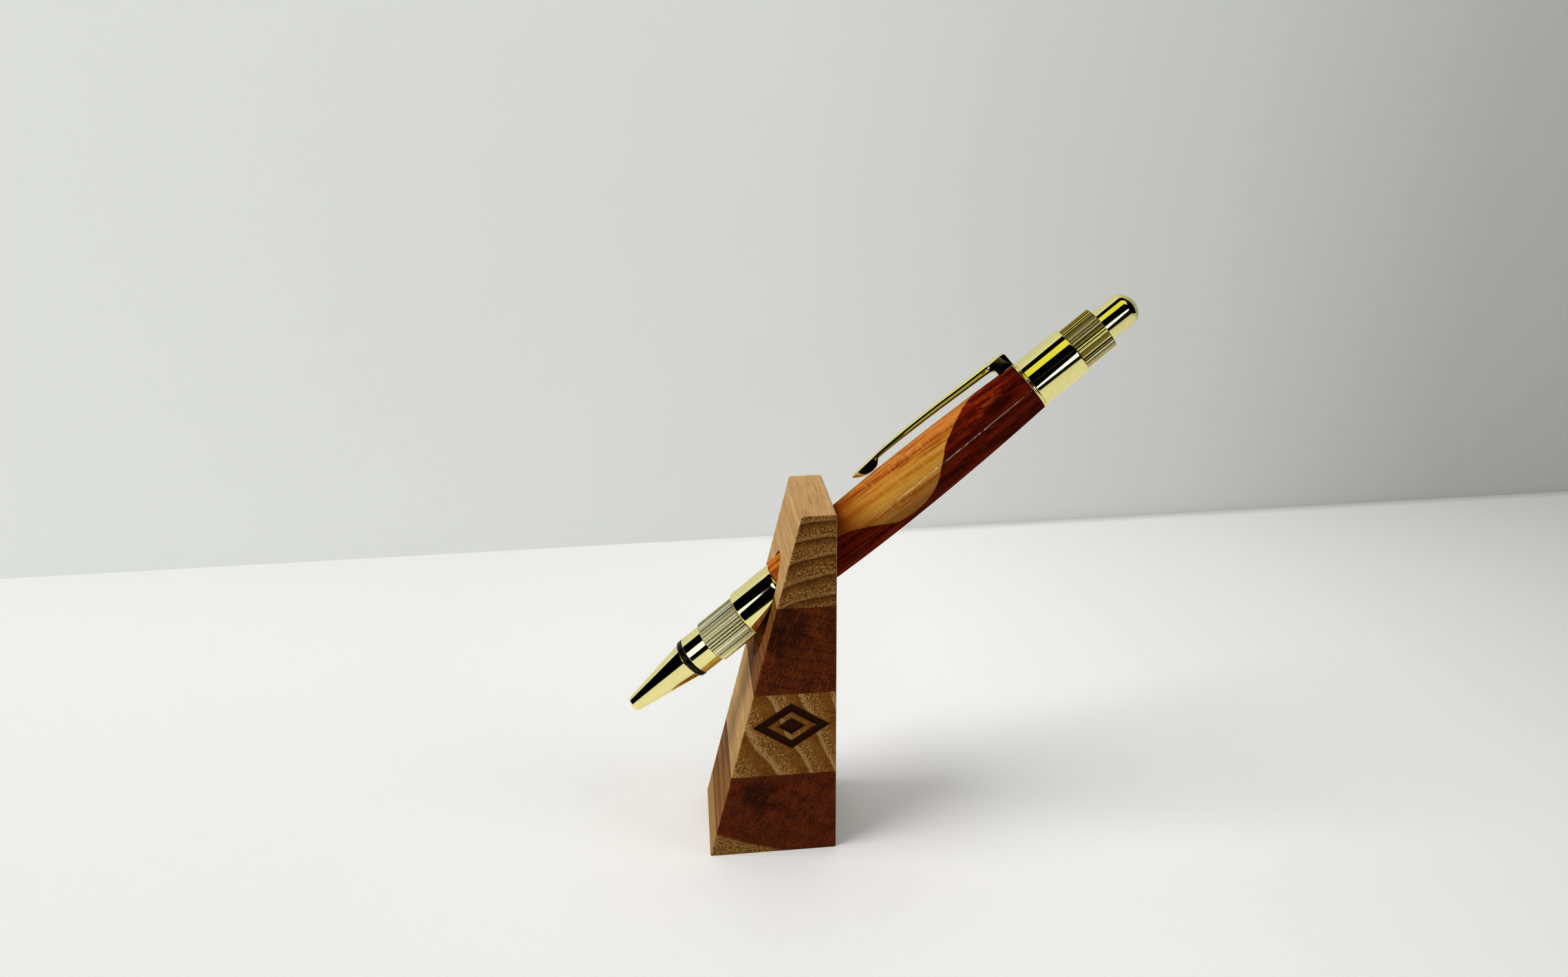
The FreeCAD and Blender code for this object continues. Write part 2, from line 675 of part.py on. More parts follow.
def refill_plug():
    """Ribbed end of the refill, which the ratchet pushes on."""
    start = REFILL_TUBE_END - REFILL_PLUG_LENGTH
    inner = REFILL_RADIUS - REFILL_WALL
    floor = REFILL_RADIUS - REFILL_GROOVE_DEPTH
    grooves = []
    for index in range(REFILL_GROOVES):
        near = REFILL_TUBE_END + 0.8 + REFILL_GROOVE_PITCH * index
        far = near + REFILL_GROOVE_WIDTH
        grooves += [(near, REFILL_RADIUS), (near, floor), (far, floor), (far, REFILL_RADIUS)]
    return turned(
        [(start, REFILL_PLUG_BORE), (start, inner)]
        + [(REFILL_TUBE_END, inner), (REFILL_TUBE_END, REFILL_RADIUS)]
        + grooves
        + [(REFILL_END, REFILL_RADIUS), (REFILL_END, REFILL_PLUG_BORE)]
    )


def return_spring():
    """Helical spring between the nib's inner step and the refill's shoulder."""
    length = SPRING_END - SPRING_START
    pitch = length / SPRING_COILS
    helix = Part.makeHelix(pitch, length, SPRING_MEAN_RADIUS)
    start = Vector(SPRING_MEAN_RADIUS, 0, 0)
    tangent = Vector(0, 2 * math.pi * SPRING_MEAN_RADIUS, pitch)
    wire_section = Part.Wire(Part.makeCircle(SPRING_WIRE_RADIUS, start, tangent))
    coil = Part.Wire(helix.Edges).makePipeShell([wire_section], True, True)
    coil.translate(Vector(0, 0, SPRING_START))
    return coil


PEN_PIECES = {
    "nib_cone": nib_cone,
    "trim_ring": lambda: sleeve(TRIM_START, TRIM_END - 0.02, TRIM_RADIUS, SPIGOT_RADIUS, 0.3),
    "front_coupler": front_coupler,
    "lower_knurled_ring": lower_knurled_ring,
    "front_threaded_bush": front_threaded_bush,
    "lower_band": lower_band,
    "barrel_tube": lambda: sleeve(BARREL_START, BARREL_END, TUBE_OUTER_RADIUS, TUBE_INNER_RADIUS),
    "wood_barrel": wood_barrel,
    "rear_threaded_bush": rear_threaded_bush,
    "clip_ring": clip_ring,
    "clip_arm": clip_arm,
    "upper_band": upper_band,
    "upper_knurled_ring": upper_knurled_ring,
    "mechanism_housing": mechanism_housing,
    "push_button": push_button,
    "plunger_cam": plunger_cam,
    "ratchet_cam": ratchet_cam,
    "refill_ball": refill_ball,
    "refill_tip": refill_tip,
    "refill_tube": refill_tube,
    "refill_plug": refill_plug,
    "return_spring": return_spring,
}


def main():
    os.makedirs("parts", exist_ok=True)
    nodes = stand_boards()
    for node, build in PEN_PIECES.items():
        nodes[node] = on_pen(build())
    for node, shape in nodes.items():
        solid = shape.Solids[0]
        if len(shape.Solids) != 1 or not solid.isValid():
            raise RuntimeError(node + " is not one valid solid")
        solid.exportStep("parts/" + node + ".step")
        print(node, round(solid.Volume, 1), "mm3")


main()
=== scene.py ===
"""Looks of a click pen in its laminated wooden stand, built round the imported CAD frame.

Metres, in the row frame. Pen pieces are made from stations and radii in millimetres in
the pen's own frame: x towards the clip, y towards the near side, z along the pen.
"""
import json
import math
import random

import bpy
from mathutils import Matrix, Vector


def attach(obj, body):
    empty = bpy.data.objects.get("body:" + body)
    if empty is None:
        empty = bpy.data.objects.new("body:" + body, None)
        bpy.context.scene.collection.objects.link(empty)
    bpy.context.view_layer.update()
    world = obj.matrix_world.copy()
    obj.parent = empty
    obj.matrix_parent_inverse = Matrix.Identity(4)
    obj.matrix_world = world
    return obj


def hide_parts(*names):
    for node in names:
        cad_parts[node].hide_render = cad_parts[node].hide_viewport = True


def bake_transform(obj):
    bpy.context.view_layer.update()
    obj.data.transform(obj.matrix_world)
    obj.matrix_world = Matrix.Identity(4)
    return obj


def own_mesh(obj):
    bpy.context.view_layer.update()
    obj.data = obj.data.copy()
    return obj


MM = 0.001

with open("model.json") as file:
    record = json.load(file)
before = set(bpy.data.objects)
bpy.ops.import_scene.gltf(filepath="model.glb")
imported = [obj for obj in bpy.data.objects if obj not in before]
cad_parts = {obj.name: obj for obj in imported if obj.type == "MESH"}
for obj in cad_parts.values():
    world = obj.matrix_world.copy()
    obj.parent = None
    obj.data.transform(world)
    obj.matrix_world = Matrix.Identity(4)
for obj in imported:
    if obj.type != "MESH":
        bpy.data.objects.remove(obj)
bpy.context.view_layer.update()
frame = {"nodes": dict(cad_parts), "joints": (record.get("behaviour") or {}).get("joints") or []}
nodes = frame["nodes"]
joints = {joint["name"]: joint for joint in frame["joints"]}


# ---- the pen's frame, from the joints ----
along = Vector(joints["pen_withdraw"]["axis"]).normalized()
pen_origin = Vector(joints["nib_turn"]["pos_m"])
clip_side = along.cross(Vector(joints["clip_flex"]["axis"])).normalized()
near_side = along.cross(clip_side)
PEN_AXES = Matrix((clip_side, near_side, along)).transposed()


def pen_point(x, y, station):
    """Row-frame metres of a point given in millimetres in the pen's frame."""
    return pen_origin + PEN_AXES @ Vector((x, y, station)) * MM


# ---- node helpers ----
class Shader:
    """A material's node tree, with short calls for the nodes used here."""

    def __init__(self, name):
        self.material = bpy.data.materials.new(name)
        self.material.use_nodes = True
        self.tree = self.material.node_tree
        self.tree.nodes.clear()
        self.output = self.tree.nodes.new("ShaderNodeOutputMaterial")

    def put(self, socket, value):
        if isinstance(value, bpy.types.NodeSocket):
            self.tree.links.new(value, socket)
        else:
            socket.default_value = value

    def node(self, kind, settings=None, **inputs):
        """A node with its settings and its named inputs, underscores for spaces."""
        made = self.tree.nodes.new(kind)
        for key, value in (settings or {}).items():
            setattr(made, key, value)
        for key, value in inputs.items():
            self.put(made.inputs[key.replace("_", " ")], value)
        return made

    def fill(self, made, first_input, *values):
        """Sets a node's inputs by position and gives its outputs."""
        for socket, value in zip(list(made.inputs)[first_input:], values):
            self.put(socket, value)
        return made.outputs

    def math(self, operation, *values, clamp=False):
        made = self.node("ShaderNodeMath", {"operation": operation, "use_clamp": clamp})
        return self.fill(made, 0, *values)[0]

    def times(self, first, second, clamp=False):
        return self.math("MULTIPLY", first, second, clamp=clamp)

    def plus(self, first, second):
        return self.math("ADD", first, second)

    def minus(self, first, second):
        return self.math("SUBTRACT", first, second)

    def length(self, first, second):
        return self.math("SQRT", self.plus(self.times(first, first), self.times(second, second)))

    def scaled(self, vector, scale, offset=(0, 0, 0)):
        return self.node(
            "ShaderNodeMapping", Vector=vector, Scale=scale, Location=offset).outputs[0]

    def noise(self, vector, detail=3.0, roughness=0.55, distortion=0.0):
        return self.node(
            "ShaderNodeTexNoise", Vector=vector, Scale=1.0, Detail=detail, Roughness=roughness,
            Distortion=distortion).outputs["Fac"]

    def cells(self, vector):
        return self.node("ShaderNodeTexVoronoi", Vector=vector, Scale=1.0).outputs["Distance"]

    def band(self, value, low, high):
        """0 below low, 1 above high, smooth between; falls instead when low is above high."""
        rising = low < high
        return self.node(
            "ShaderNodeMapRange", {"interpolation_type": "SMOOTHSTEP"}, Value=value,
            From_Min=min(low, high), From_Max=max(low, high),
            To_Min=0.0 if rising else 1.0, To_Max=1.0 if rising else 0.0).outputs[0]

    def mix(self, share, first, second, blend="MIX"):
        made = self.node("ShaderNodeMix", {"data_type": "RGBA", "blend_type": blend})
        self.put(made.inputs[0], share)
        return self.fill(made, 6, first, second)[2]

    def ramp(self, value, stops):
        made = self.node("ShaderNodeValToRGB", Fac=value)
        elements = made.color_ramp.elements
        while len(elements) < len(stops):
            elements.new(0.5)
        for element, (position, colour) in zip(elements, stops):
            element.position = position
            element.color = colour
        return made.outputs[0]

    def curve(self, value, points):
        """A function, given by points, of a value that runs from 0 to 1."""
        made = self.node("ShaderNodeFloatCurve", Value=value)
        drawn = made.mapping.curves[0].points
        while len(drawn) < len(points):
            drawn.new(0.5, 0.5)
        for point, (x, y) in zip(drawn, points):
            point.location = (x, y)
        made.mapping.update()
        return made.outputs[0]

    def bump(self, height, distance):
        return self.node("ShaderNodeBump", Height=height, Distance=distance).outputs[0]

    def row_mm(self):
        """Row-frame millimetres."""
        return self.scaled(self.node("ShaderNodeTexCoord").outputs["Object"], (1 / MM,) * 3)

    def pen_mm(self):
        """Millimetres in the pen's own frame."""
        place = self.node("ShaderNodeTexCoord").outputs["Object"]
        into_pen = PEN_AXES.transposed()
        return self.node(
            "ShaderNodeMapping", Vector=place, Scale=(1 / MM,) * 3,
            Rotation=into_pen.to_euler("XYZ"), Location=-(into_pen @ pen_origin) / MM).outputs[0]

    def emission(self, colour, strength=1.0):
        return self.node("ShaderNodeEmission", Color=colour, Strength=strength).outputs[0]

    def mixed_surface(self, share, first, second):
        return self.fill(self.node("ShaderNodeMixShader"), 0, share, first, second)[0]

    def split(self, vector):
        return self.node("ShaderNodeSeparateXYZ", Vector=vector).outputs

    def join(self, x, y, z):
        return self.node("ShaderNodeCombineXYZ", X=x, Y=y, Z=z).outputs[0]

    def finish(self, **inputs):
        self.put(self.output.inputs[0], self.node("ShaderNodeBsdfPrincipled", **inputs).outputs[0])
        return self.material


def rgb(red, green, blue):
    """Linear colour from the 0 to 255 values of a screen."""
    def linear(value):
        share = value / 255
        return share / 12.92 if share <= 0.04045 else ((share + 0.055) / 1.055) ** 2.4

    return (linear(red), linear(green), linear(blue), 1.0)


# ---- wood of the stand ----
BOARD_THICKNESS, BOARD_COUNT = 20.0, 4
BOARD_ROUGHNESS = 0.65
ENGRAVED_Y = -11.9   # just behind the floor of the engraving in the near face


def board_material(name, look):
    """Solid wood whose fibres run along y, so that the near and far faces are end grain."""
    s = Shader(name)
    place = s.row_mm()
    x, y, z = s.split(place)
    lean = math.radians(look["ring_angle"])
    warp = s.noise(s.scaled(place, (0.045, 0.012, 0.045), look["shift"]), detail=2.0)
    across = s.plus(s.times(x, -math.sin(lean)), s.times(z, math.cos(lean)))
    along_ring = s.plus(s.times(x, math.cos(lean)), s.times(z, math.sin(lean)))
    arc = s.times(s.times(x, x), look["ring_curve"])
    across = s.plus(s.plus(across, arc), s.times(warp, look["ring_warp"]))
    ring = s.math("FRACT", s.math("DIVIDE", across, look["ring_gap"]))
    early_end = look["early_end"]
    early = s.times(s.band(ring, 0.0, 0.18), s.band(ring, early_end + 0.3, early_end))
    fibre = s.noise(s.scaled(place, (3.2, 0.11, 3.2), look["shift"]), detail=5.0, roughness=0.68)
    broad = s.noise(s.scaled(place, (0.34, 0.02, 0.34), look["shift"]), detail=3.0, roughness=0.5)
    fleck = s.noise(s.scaled(place, (7.0, 0.35, 7.0), look["shift"]), detail=2.0, roughness=0.5)
    pore_size = look["pore_size"]
    pores = s.cells(s.scaled(place, (pore_size, pore_size * 0.055, pore_size), look["shift"]))
    pore = s.band(pores, look["pore_width"], look["pore_width"] * 0.45)
    pore_here = s.times(pore, s.plus(s.times(early, 0.8), look["pore_between"]), clamp=True)

    # long grain: fine lines along the fibres
    tone = s.plus(s.times(fibre, 0.62), s.times(broad, 0.38))
    lines = s.band(tone, 0.36, 0.64)
    long_colour = s.mix(lines, look["long_dark"], look["long_light"])
    long_colour = s.mix(s.times(early, look["long_ring"]), long_colour, look["long_line"])
    long_colour = s.mix(s.times(pore_here, 0.6), long_colour, look["long_line"])

    # end grain: darker and speckled, with a pale line and scattered pale pores in each ring
    grain = s.plus(s.times(fleck, 0.65), s.times(broad, 0.35))
    end_colour = s.mix(s.band(grain, 0.38, 0.62), look["end_dark"], look["end_light"])
    if "patch" in look:
        # a darker patch in the heartwood
        patch_x, patch_z, patch_size = look["patch"]
        from_x, from_z = s.minus(x, patch_x), s.minus(z, patch_z)
        away = s.plus(s.length(from_x, from_z), s.times(s.minus(broad, 0.5), 9.0))
        patch = s.band(away, patch_size, patch_size * 0.2)
        end_colour = s.mix(s.times(patch, 0.72), end_colour, look["end_late"])
    late = s.times(s.band(ring, 0.72, 0.97), look["late_dark"])
    end_colour = s.mix(late, end_colour, look["end_late"])
    speck = s.noise(s.scaled(place, (2.4, 0.4, 2.4), look["shift"]), detail=2.0, roughness=0.75)
    dark_speck = s.times(s.band(speck, 0.48, 0.34), look["speckle"])
    end_colour = s.mix(dark_speck, end_colour, look["end_late"])
    ray_place = s.scaled(s.join(along_ring, y, across), (2.6, 0.1, 0.28), look["shift"])
    rays = s.times(s.band(s.noise(ray_place, detail=2.0), 0.54, 0.70), look["rays"])
    end_colour = s.mix(rays, end_colour, look["end_pore"])
    pale_line = s.times(s.band(ring, 0.0, 0.05), s.band(ring, 0.26, 0.12))
    pale_line = s.times(s.times(pale_line, s.band(speck, 0.34, 0.56)), look["end_line"])
    sparkle = s.times(s.times(early, s.band(speck, 0.50, 0.62)), look["end_pores"])
    pale = s.math("MAXIMUM", pale_line, sparkle)
    pale = s.math("MAXIMUM", pale, s.times(s.band(speck, 0.56, 0.68), look["stray_pores"]))
    end_colour = s.mix(pale, end_colour, look["end_pore"])

    facing = s.split(s.node("ShaderNodeTexCoord").outputs["Normal"])[1]
    end_share = s.band(s.math("ABSOLUTE", facing), 0.35, 0.8)
    colour = s.mix(end_share, long_colour, end_colour)
    height = s.minus(s.times(fibre, 0.5), s.times(pore_here, 0.8))

    if "sapwood" in look:
        # a paler wedge of sapwood low on the front edge
        edge = s.plus(s.plus(z, s.times(x, look["sapwood_slope"])), s.times(warp, 2.5))
        wedge = s.band(edge, look["sapwood"] + 0.5, look["sapwood"] - 0.5)
        speckle = s.band(s.plus(s.times(fleck, 0.3), s.times(speck, 0.7)), 0.42, 0.58)
        sapwood_end = s.mix(speckle, look["sapwood_end_dark"], look["sapwood_end"])
        sapwood = s.mix(end_share, look["sapwood_long"], sapwood_end)
        colour = s.mix(s.times(wedge, 0.92), colour, sapwood)

    roughness = BOARD_ROUGHNESS
    if "mark" in look:
        colour, roughness = burnt(s, x, y, z, colour, fleck, look)

    # glue lines are a little darker
    half, top = BOARD_THICKNESS / 2, BOARD_THICKNESS * BOARD_COUNT
    in_board = s.math("MODULO", s.plus(z, half), BOARD_THICKNESS)
    from_joint = s.math("ABSOLUTE", s.minus(in_board, half))
    deep = s.band(from_joint, 0.22, 0.02)
    inside = s.times(s.band(z, 1.0, 3.0), s.band(z, top - 1.0, top - 3.0))
    colour = s.mix(s.times(s.times(deep, inside), 0.3), colour, look["glue"])
    return s.finish(
        Base_Color=colour,
        Roughness=roughness,
        Specular_IOR_Level=0.03,
        Normal=s.bump(height, 0.05 * MM),
    )


def burnt(s, x, y, z, colour, fleck, look):
    """Char in the engraved lozenge, and a scorched halo on the face round it."""
    mark_x, mark_z, half_width, half_height, inner, heart = look["mark"]
    wobble = s.times(s.minus(fleck, 0.5), 0.05)
    across = s.math("DIVIDE", s.math("ABSOLUTE", s.minus(x, mark_x)), half_width)
    up = s.math("DIVIDE", s.math("ABSOLUTE", s.minus(z, mark_z)), half_height)
    reach = s.plus(s.plus(across, up), wobble)
    middle = (1 + inner) / 2
    from_outline = s.math("ABSOLUTE", s.minus(reach, middle))
    outline = s.band(from_outline, (1 - inner) / 2 + 0.10, (1 - inner) / 2 - 0.01)
    heart_char = s.band(reach, heart + 0.10, heart - 0.01)
    near = s.band(y, ENGRAVED_Y + 0.3, ENGRAVED_Y)
    char = s.times(s.math("MAXIMUM", outline, heart_char), near)
    scorched = s.mix(s.math("POWER", char, 0.8), colour, look["char_edge"])
    core = s.band(char, 0.72, 1.0)
    scorched = s.mix(core, scorched, s.mix(fleck, look["char"], look["char_edge"]))
    return scorched, s.plus(s.times(char, 0.2), BOARD_ROUGHNESS)


ASH = {
    "shift": (11.0, 3.0, 7.0), "ring_angle": 23.0, "ring_curve": 0.012, "ring_warp": 5.0,
    "ring_gap": 3.8, "early_end": 0.50, "pore_size": 2.3, "pore_width": 0.34, "pore_between": 0.10,
    "long_dark": rgb(170, 130, 78), "long_light": rgb(212, 176, 122),
    "long_line": rgb(146, 102, 56), "long_ring": 0.35,
    "end_dark": rgb(82, 44, 9), "end_light": rgb(124, 78, 26), "end_late": rgb(52, 22, 5),
    "late_dark": 0.65, "speckle": 0.35, "rays": 0.10, "end_line": 0.55,
    "end_pore": rgb(172, 132, 76), "end_pores": 0.95, "stray_pores": 0.30, "glue": rgb(70, 34, 12),
}
DARK = {
    "shift": (2.0, 9.0, 4.0), "ring_angle": -22.0, "ring_curve": -0.004, "ring_warp": 6.0,
    "ring_gap": 2.4, "early_end": 0.40, "pore_size": 3.0, "pore_width": 0.30, "pore_between": 0.35,
    "long_dark": rgb(94, 50, 14), "long_light": rgb(136, 84, 32),
    "long_line": rgb(66, 30, 8), "long_ring": 0.4,
    "end_dark": rgb(58, 20, 6), "end_light": rgb(106, 46, 15), "end_late": rgb(18, 6, 2),
    "late_dark": 0.45, "speckle": 0.90, "rays": 0.26, "end_line": 0.0,
    "end_pore": rgb(142, 72, 30), "end_pores": 0.10, "stray_pores": 0.12, "glue": rgb(34, 10, 5),
    "patch": (1.5, 55.5, 9.5),
}
GOLDEN = {
    "shift": (6.0, 1.0, 13.0), "ring_angle": -62.0, "ring_curve": 0.022, "ring_warp": 8.0,
    "ring_gap": 7.4, "early_end": 0.45, "pore_size": 2.4, "pore_width": 0.36, "pore_between": 0.06,
    "long_dark": rgb(160, 122, 70), "long_light": rgb(200, 162, 106),
    "long_line": rgb(150, 110, 66), "long_ring": 0.3,
    "end_dark": rgb(92, 50, 8), "end_light": rgb(134, 82, 22), "end_late": rgb(80, 42, 7),
    "late_dark": 0.25, "speckle": 0.25, "rays": 0.12, "end_line": 0.75,
    "end_pore": rgb(186, 150, 92), "end_pores": 0.75, "stray_pores": 0.28, "glue": rgb(70, 34, 12),
    "mark": (4.4, 32.2, 8.0, 5.4, 0.68, 0.34), "char": rgb(20, 8, 5), "char_edge": rgb(58, 26, 9),
}
BASE = dict(
    DARK, patch=(-3.5, 15.0, 6.5), rays=0.16, shift=(15.0, 4.0, 1.0),
    ring_angle=-30.0, ring_gap=4.6, ring_curve=-0.006,
    end_dark=rgb(60, 19, 6), end_light=rgb(104, 42, 13), end_late=rgb(26, 9, 3), late_dark=0.15,
    end_pore=rgb(152, 80, 34), end_pores=0.05, stray_pores=0.14,
    long_dark=rgb(104, 60, 20), long_light=rgb(150, 100, 42), long_line=rgb(74, 36, 10),
    sapwood=1.9, sapwood_slope=0.40, sapwood_long=rgb(158, 118, 66),
    sapwood_end=rgb(164, 122, 62), sapwood_end_dark=rgb(84, 50, 18),
)


# ---- wood of the barrel ----
GRAIN_START, GRAIN_END = 40.0, 112.0
# Height of the heartwood's edge over the radius, by station: a U that the turning cut.
HEART_EDGE = [
    (40.0, -0.55), (50.0, -0.30), (56.0, 0.06), (59.5, 0.08), (62.0, 0.0), (64.6, -0.17),
    (67.4, -0.39), (70.0, -0.64), (72.8, -0.81), (77.0, -0.83), (79.7, -0.75), (82.3, -0.58),
    (85.0, -0.26), (87.0, 0.0), (89.0, 0.265), (91.6, 0.49), (94.2, 0.705), (96.9, 0.884),
    (99.0, 0.97), (103.0, 1.02),
]


def barrel_material():
    s = Shader("barrel_wood")
    place = s.pen_mm()
    x, y, station = s.split(place)
    height = s.math("DIVIDE", x, s.length(x, y))

    ragged = s.noise(s.scaled(place, (1.4, 1.4, 0.9)), detail=4.0, roughness=0.6)
    span = GRAIN_END - GRAIN_START
    share = s.math("DIVIDE", s.minus(station, GRAIN_START), span)
    points = [((at - GRAIN_START) / span, (level + 1.1) / 2.2) for at, level in HEART_EDGE]
    edge = s.minus(s.times(s.curve(share, points), 2.2), 1.1)
    over = s.minus(height, edge)
    over = s.plus(over, s.times(s.minus(ragged, 0.5), 0.07))
    sap = s.band(over, -0.012, 0.022)

    # fibres lie nearly along the pen and sink a little towards the button
    sink = s.times(s.minus(station, 80.0), 0.0097)
    lane_height = s.plus(height, sink)
    drift = s.plus(x, s.times(station, 0.061))
    lane = s.join(drift, y, s.times(station, 0.035))
    fine = s.noise(s.scaled(lane, (4.2, 4.2, 4.2)), detail=4.0, roughness=0.65)
    streak = s.noise(s.scaled(lane, (1.25, 1.25, 1.6), (3.1, 0.4, 0.2)), detail=3.0, roughness=0.55)
    broad = s.noise(s.scaled(lane, (0.42, 0.42, 0.6), (7.7, 1.0, 2.0)), detail=2.0)
    cross = s.noise(s.scaled(place, (0.35, 0.35, 3.2)), detail=3.0, roughness=0.6)

    # sapwood: orange on top with red-brown lines, golden in the middle, tan below
    wander = s.times(s.minus(streak, 0.5), 0.30)
    level = s.times(s.plus(s.plus(lane_height, wander), 1.1), 1 / 2.2)
    gold = s.ramp(level, [
        (0.0, rgb(150, 84, 22)), (0.14, rgb(168, 112, 46)), (0.26, rgb(186, 128, 56)),
        (0.35, rgb(146, 76, 16)), (0.40, rgb(190, 134, 50)), (0.52, rgb(196, 140, 50)),
        (0.60, rgb(172, 100, 24)), (0.66, rgb(198, 140, 52)), (0.76, rgb(182, 110, 32)),
        (0.81, rgb(132, 52, 12)), (0.85, rgb(188, 108, 38)), (0.93, rgb(196, 120, 52)),
        (1.0, rgb(184, 104, 42)),
    ])
    red_lines = s.times(s.band(streak, 0.54, 0.62), s.band(level, 0.52, 0.78))
    gold = s.mix(s.times(red_lines, 0.75), gold, rgb(120, 42, 8))
    low_lines = s.times(s.band(streak, 0.57, 0.64), s.band(level, 0.46, 0.34))
    gold = s.mix(s.times(low_lines, 0.65), gold, rgb(134, 58, 12))
    gold = s.mix(s.times(s.band(fine, 0.54, 0.68), 0.5), gold, rgb(134, 62, 14))
    gold = s.mix(s.times(s.band(fine, 0.46, 0.34), 0.4), gold, rgb(216, 164, 76))
    gold = s.mix(s.times(s.band(cross, 0.5, 0.7), 0.35), gold, rgb(212, 160, 72))

    # darker towards the stand: partly the wood's own colour, partly painted shade from the stand
    gold = s.mix(s.times(s.band(station, 72.0, 61.0), 0.92), gold, rgb(112, 44, 4))
    gold = s.mix(s.times(s.band(level, 0.34, 0.18), 0.6), gold, rgb(122, 68, 22))
    stub = s.times(s.band(station, 58.0, 50.0), s.band(streak, 0.44, 0.56))
    gold = s.mix(s.times(s.band(station, 58.0, 52.0), 0.75), gold, rgb(206, 118, 36))
    gold = s.mix(s.times(stub, 0.8), gold, rgb(110, 40, 6))

    red = s.mix(s.band(height, -0.2, 0.85), rgb(86, 19, 7), rgb(116, 24, 9))
    red = s.mix(s.band(height, -0.25, -0.75), red, rgb(108, 32, 12))
    red = s.mix(s.times(s.band(broad, 0.42, 0.58), 0.75), red, rgb(36, 4, 2))
    mottle = s.noise(
        s.scaled(lane, (1.3, 1.3, 9.0), (1.0, 2.0, 9.0)), detail=4.0, roughness=0.7, distortion=0.6)
    patch = s.times(s.band(station, 93.0, 99.0), s.band(station, 107.0, 102.0))
    patch = s.times(patch, s.band(height, 0.1, 0.35))
    mottled = s.times(s.band(mottle, 0.47, 0.62), s.plus(s.times(patch, 0.70), 0.12))
    red = s.mix(mottled, red, rgb(138, 54, 12))
    red = s.mix(s.times(s.band(streak, 0.53, 0.62), 0.80), red, rgb(26, 3, 2))
    red = s.mix(s.times(s.band(fine, 0.53, 0.66), 0.6), red, rgb(24, 4, 2))
    red = s.mix(s.times(s.band(cross, 0.52, 0.75), 0.3), red, rgb(138, 40, 12))
    near_end = s.times(s.band(station, 97.0, 101.0), s.band(station, 107.0, 103.5))
    blot = s.times(near_end, s.times(s.band(height, -0.1, 0.12), s.band(height, 0.5, 0.25)))
    red = s.mix(s.times(blot, s.plus(broad, 0.3)), red, rgb(22, 3, 2))

    colour = s.mix(sap, red, gold)
    line = s.times(s.band(s.math("ABSOLUTE", over), 0.05, 0.0), s.band(station, 84.0, 76.0))
    colour = s.mix(s.times(line, 0.8), colour, rgb(40, 10, 5))

    ripple = s.noise(s.scaled(place, (0.12, 0.12, 4.2)), detail=2.0, roughness=0.5)
    relief = s.plus(s.times(fine, 0.55), s.times(ripple, 0.75))
    # the lacquer shines in short dashes
    dash = s.noise(s.scaled(place, (1.1, 1.1, 1.5), (4.0, 2.0, 1.0)), detail=3.0, roughness=0.7)
    return s.finish(
        Base_Color=colour,
        Roughness=0.55,
        Specular_IOR_Level=0.0,
        Coat_Weight=s.times(s.band(dash, 0.44, 0.56), 0.014),
        Coat_IOR=1.4,
        Coat_Roughness=0.06,
        Coat_Normal=s.bump(ripple, 0.012 * MM),
        Normal=s.bump(relief, 0.018 * MM),
    )


# ---- metals and plastics ----
GOLD_COLOUR, GOLD_SHADE = (0.93, 0.85, 0.36, 1.0), (0.90, 0.81, 0.33, 1.0)
# crests darken towards CREST_SHADE at random and, as painted shade, over the rear knurl; the valley
# colour is grime and painted shade
CREST_COLOUR, CREST_SHADE = (1.0, 0.93, 0.48, 1.0), (0.32, 0.21, 0.03, 1.0)
VALLEY_GRIME_SHADE_COLOUR = (0.07, 0.035, 0.004, 1.0)
LOWER_KNURL_RADIUS, UPPER_KNURL_RADIUS = 4.92, 4.8
KNURL_TEETH = 42


def gold_material(name, roughness, wear, knurled=False):
    s = Shader(name)
    place = s.pen_mm()
    speck = s.noise(s.scaled(place, (9.0, 9.0, 9.0)), detail=3.0, roughness=0.7)
    scratch = s.noise(s.scaled(place, (9.0, 9.0, 0.5)), detail=3.0, roughness=0.7)
    if knurled:
        # grime and painted shade in the dark valleys between the flutes; the rear knurl's crests
        # and valleys are painted darker, as painted shade; the crests also differ at random in tone
        x, y, station = s.split(place)
        reach = s.length(x, y)
        rear = s.math("GREATER_THAN", station, 60.0)
        crest = s.plus(s.times(rear, UPPER_KNURL_RADIUS - LOWER_KNURL_RADIUS), LOWER_KNURL_RADIUS)
        below = s.minus(crest, reach)
        valley_grime_shade_mask = s.times(s.band(below, 0.13, 0.24), s.band(below, 0.45, 0.36))
        turn = s.times(s.math("ARCTAN2", y, x), KNURL_TEETH / (2 * math.pi))
        ridge = s.math("ROUND", turn)
        tone = s.node("ShaderNodeTexWhiteNoise", {"noise_dimensions": "1D"}, W=ridge)
        # painted shade: the rear knurl is painted darker than the front one
        darker = s.plus(s.times(rear, 0.80), 0.15)
        crest_tone_and_shade = s.times(s.band(tone.outputs["Value"], 0.4, 0.75), darker)
        colour = s.mix(crest_tone_and_shade, CREST_COLOUR, CREST_SHADE)
        valley_grime_shade_strength = s.plus(s.times(rear, 0.40), 0.60)
        colour = s.mix(s.times(valley_grime_shade_mask, valley_grime_shade_strength), colour, VALLEY_GRIME_SHADE_COLOUR)
    else:
        cloud = s.noise(s.scaled(place, (0.5, 0.5, 0.5)), detail=2.0)
        colour = s.mix(s.band(cloud, 0.3, 0.7), GOLD_SHADE, GOLD_COLOUR)
    rough = s.plus(s.times(s.band(speck, 0.55, 0.8), wear), roughness)
    relief = s.plus(s.times(speck, 0.5), s.times(scratch, 0.5))
    depth = 0.004 if knurled else 0.0004
    return s.finish(
        Base_Color=colour, Metallic=1.0, Roughness=rough, Normal=s.bump(relief, depth * MM)
    )


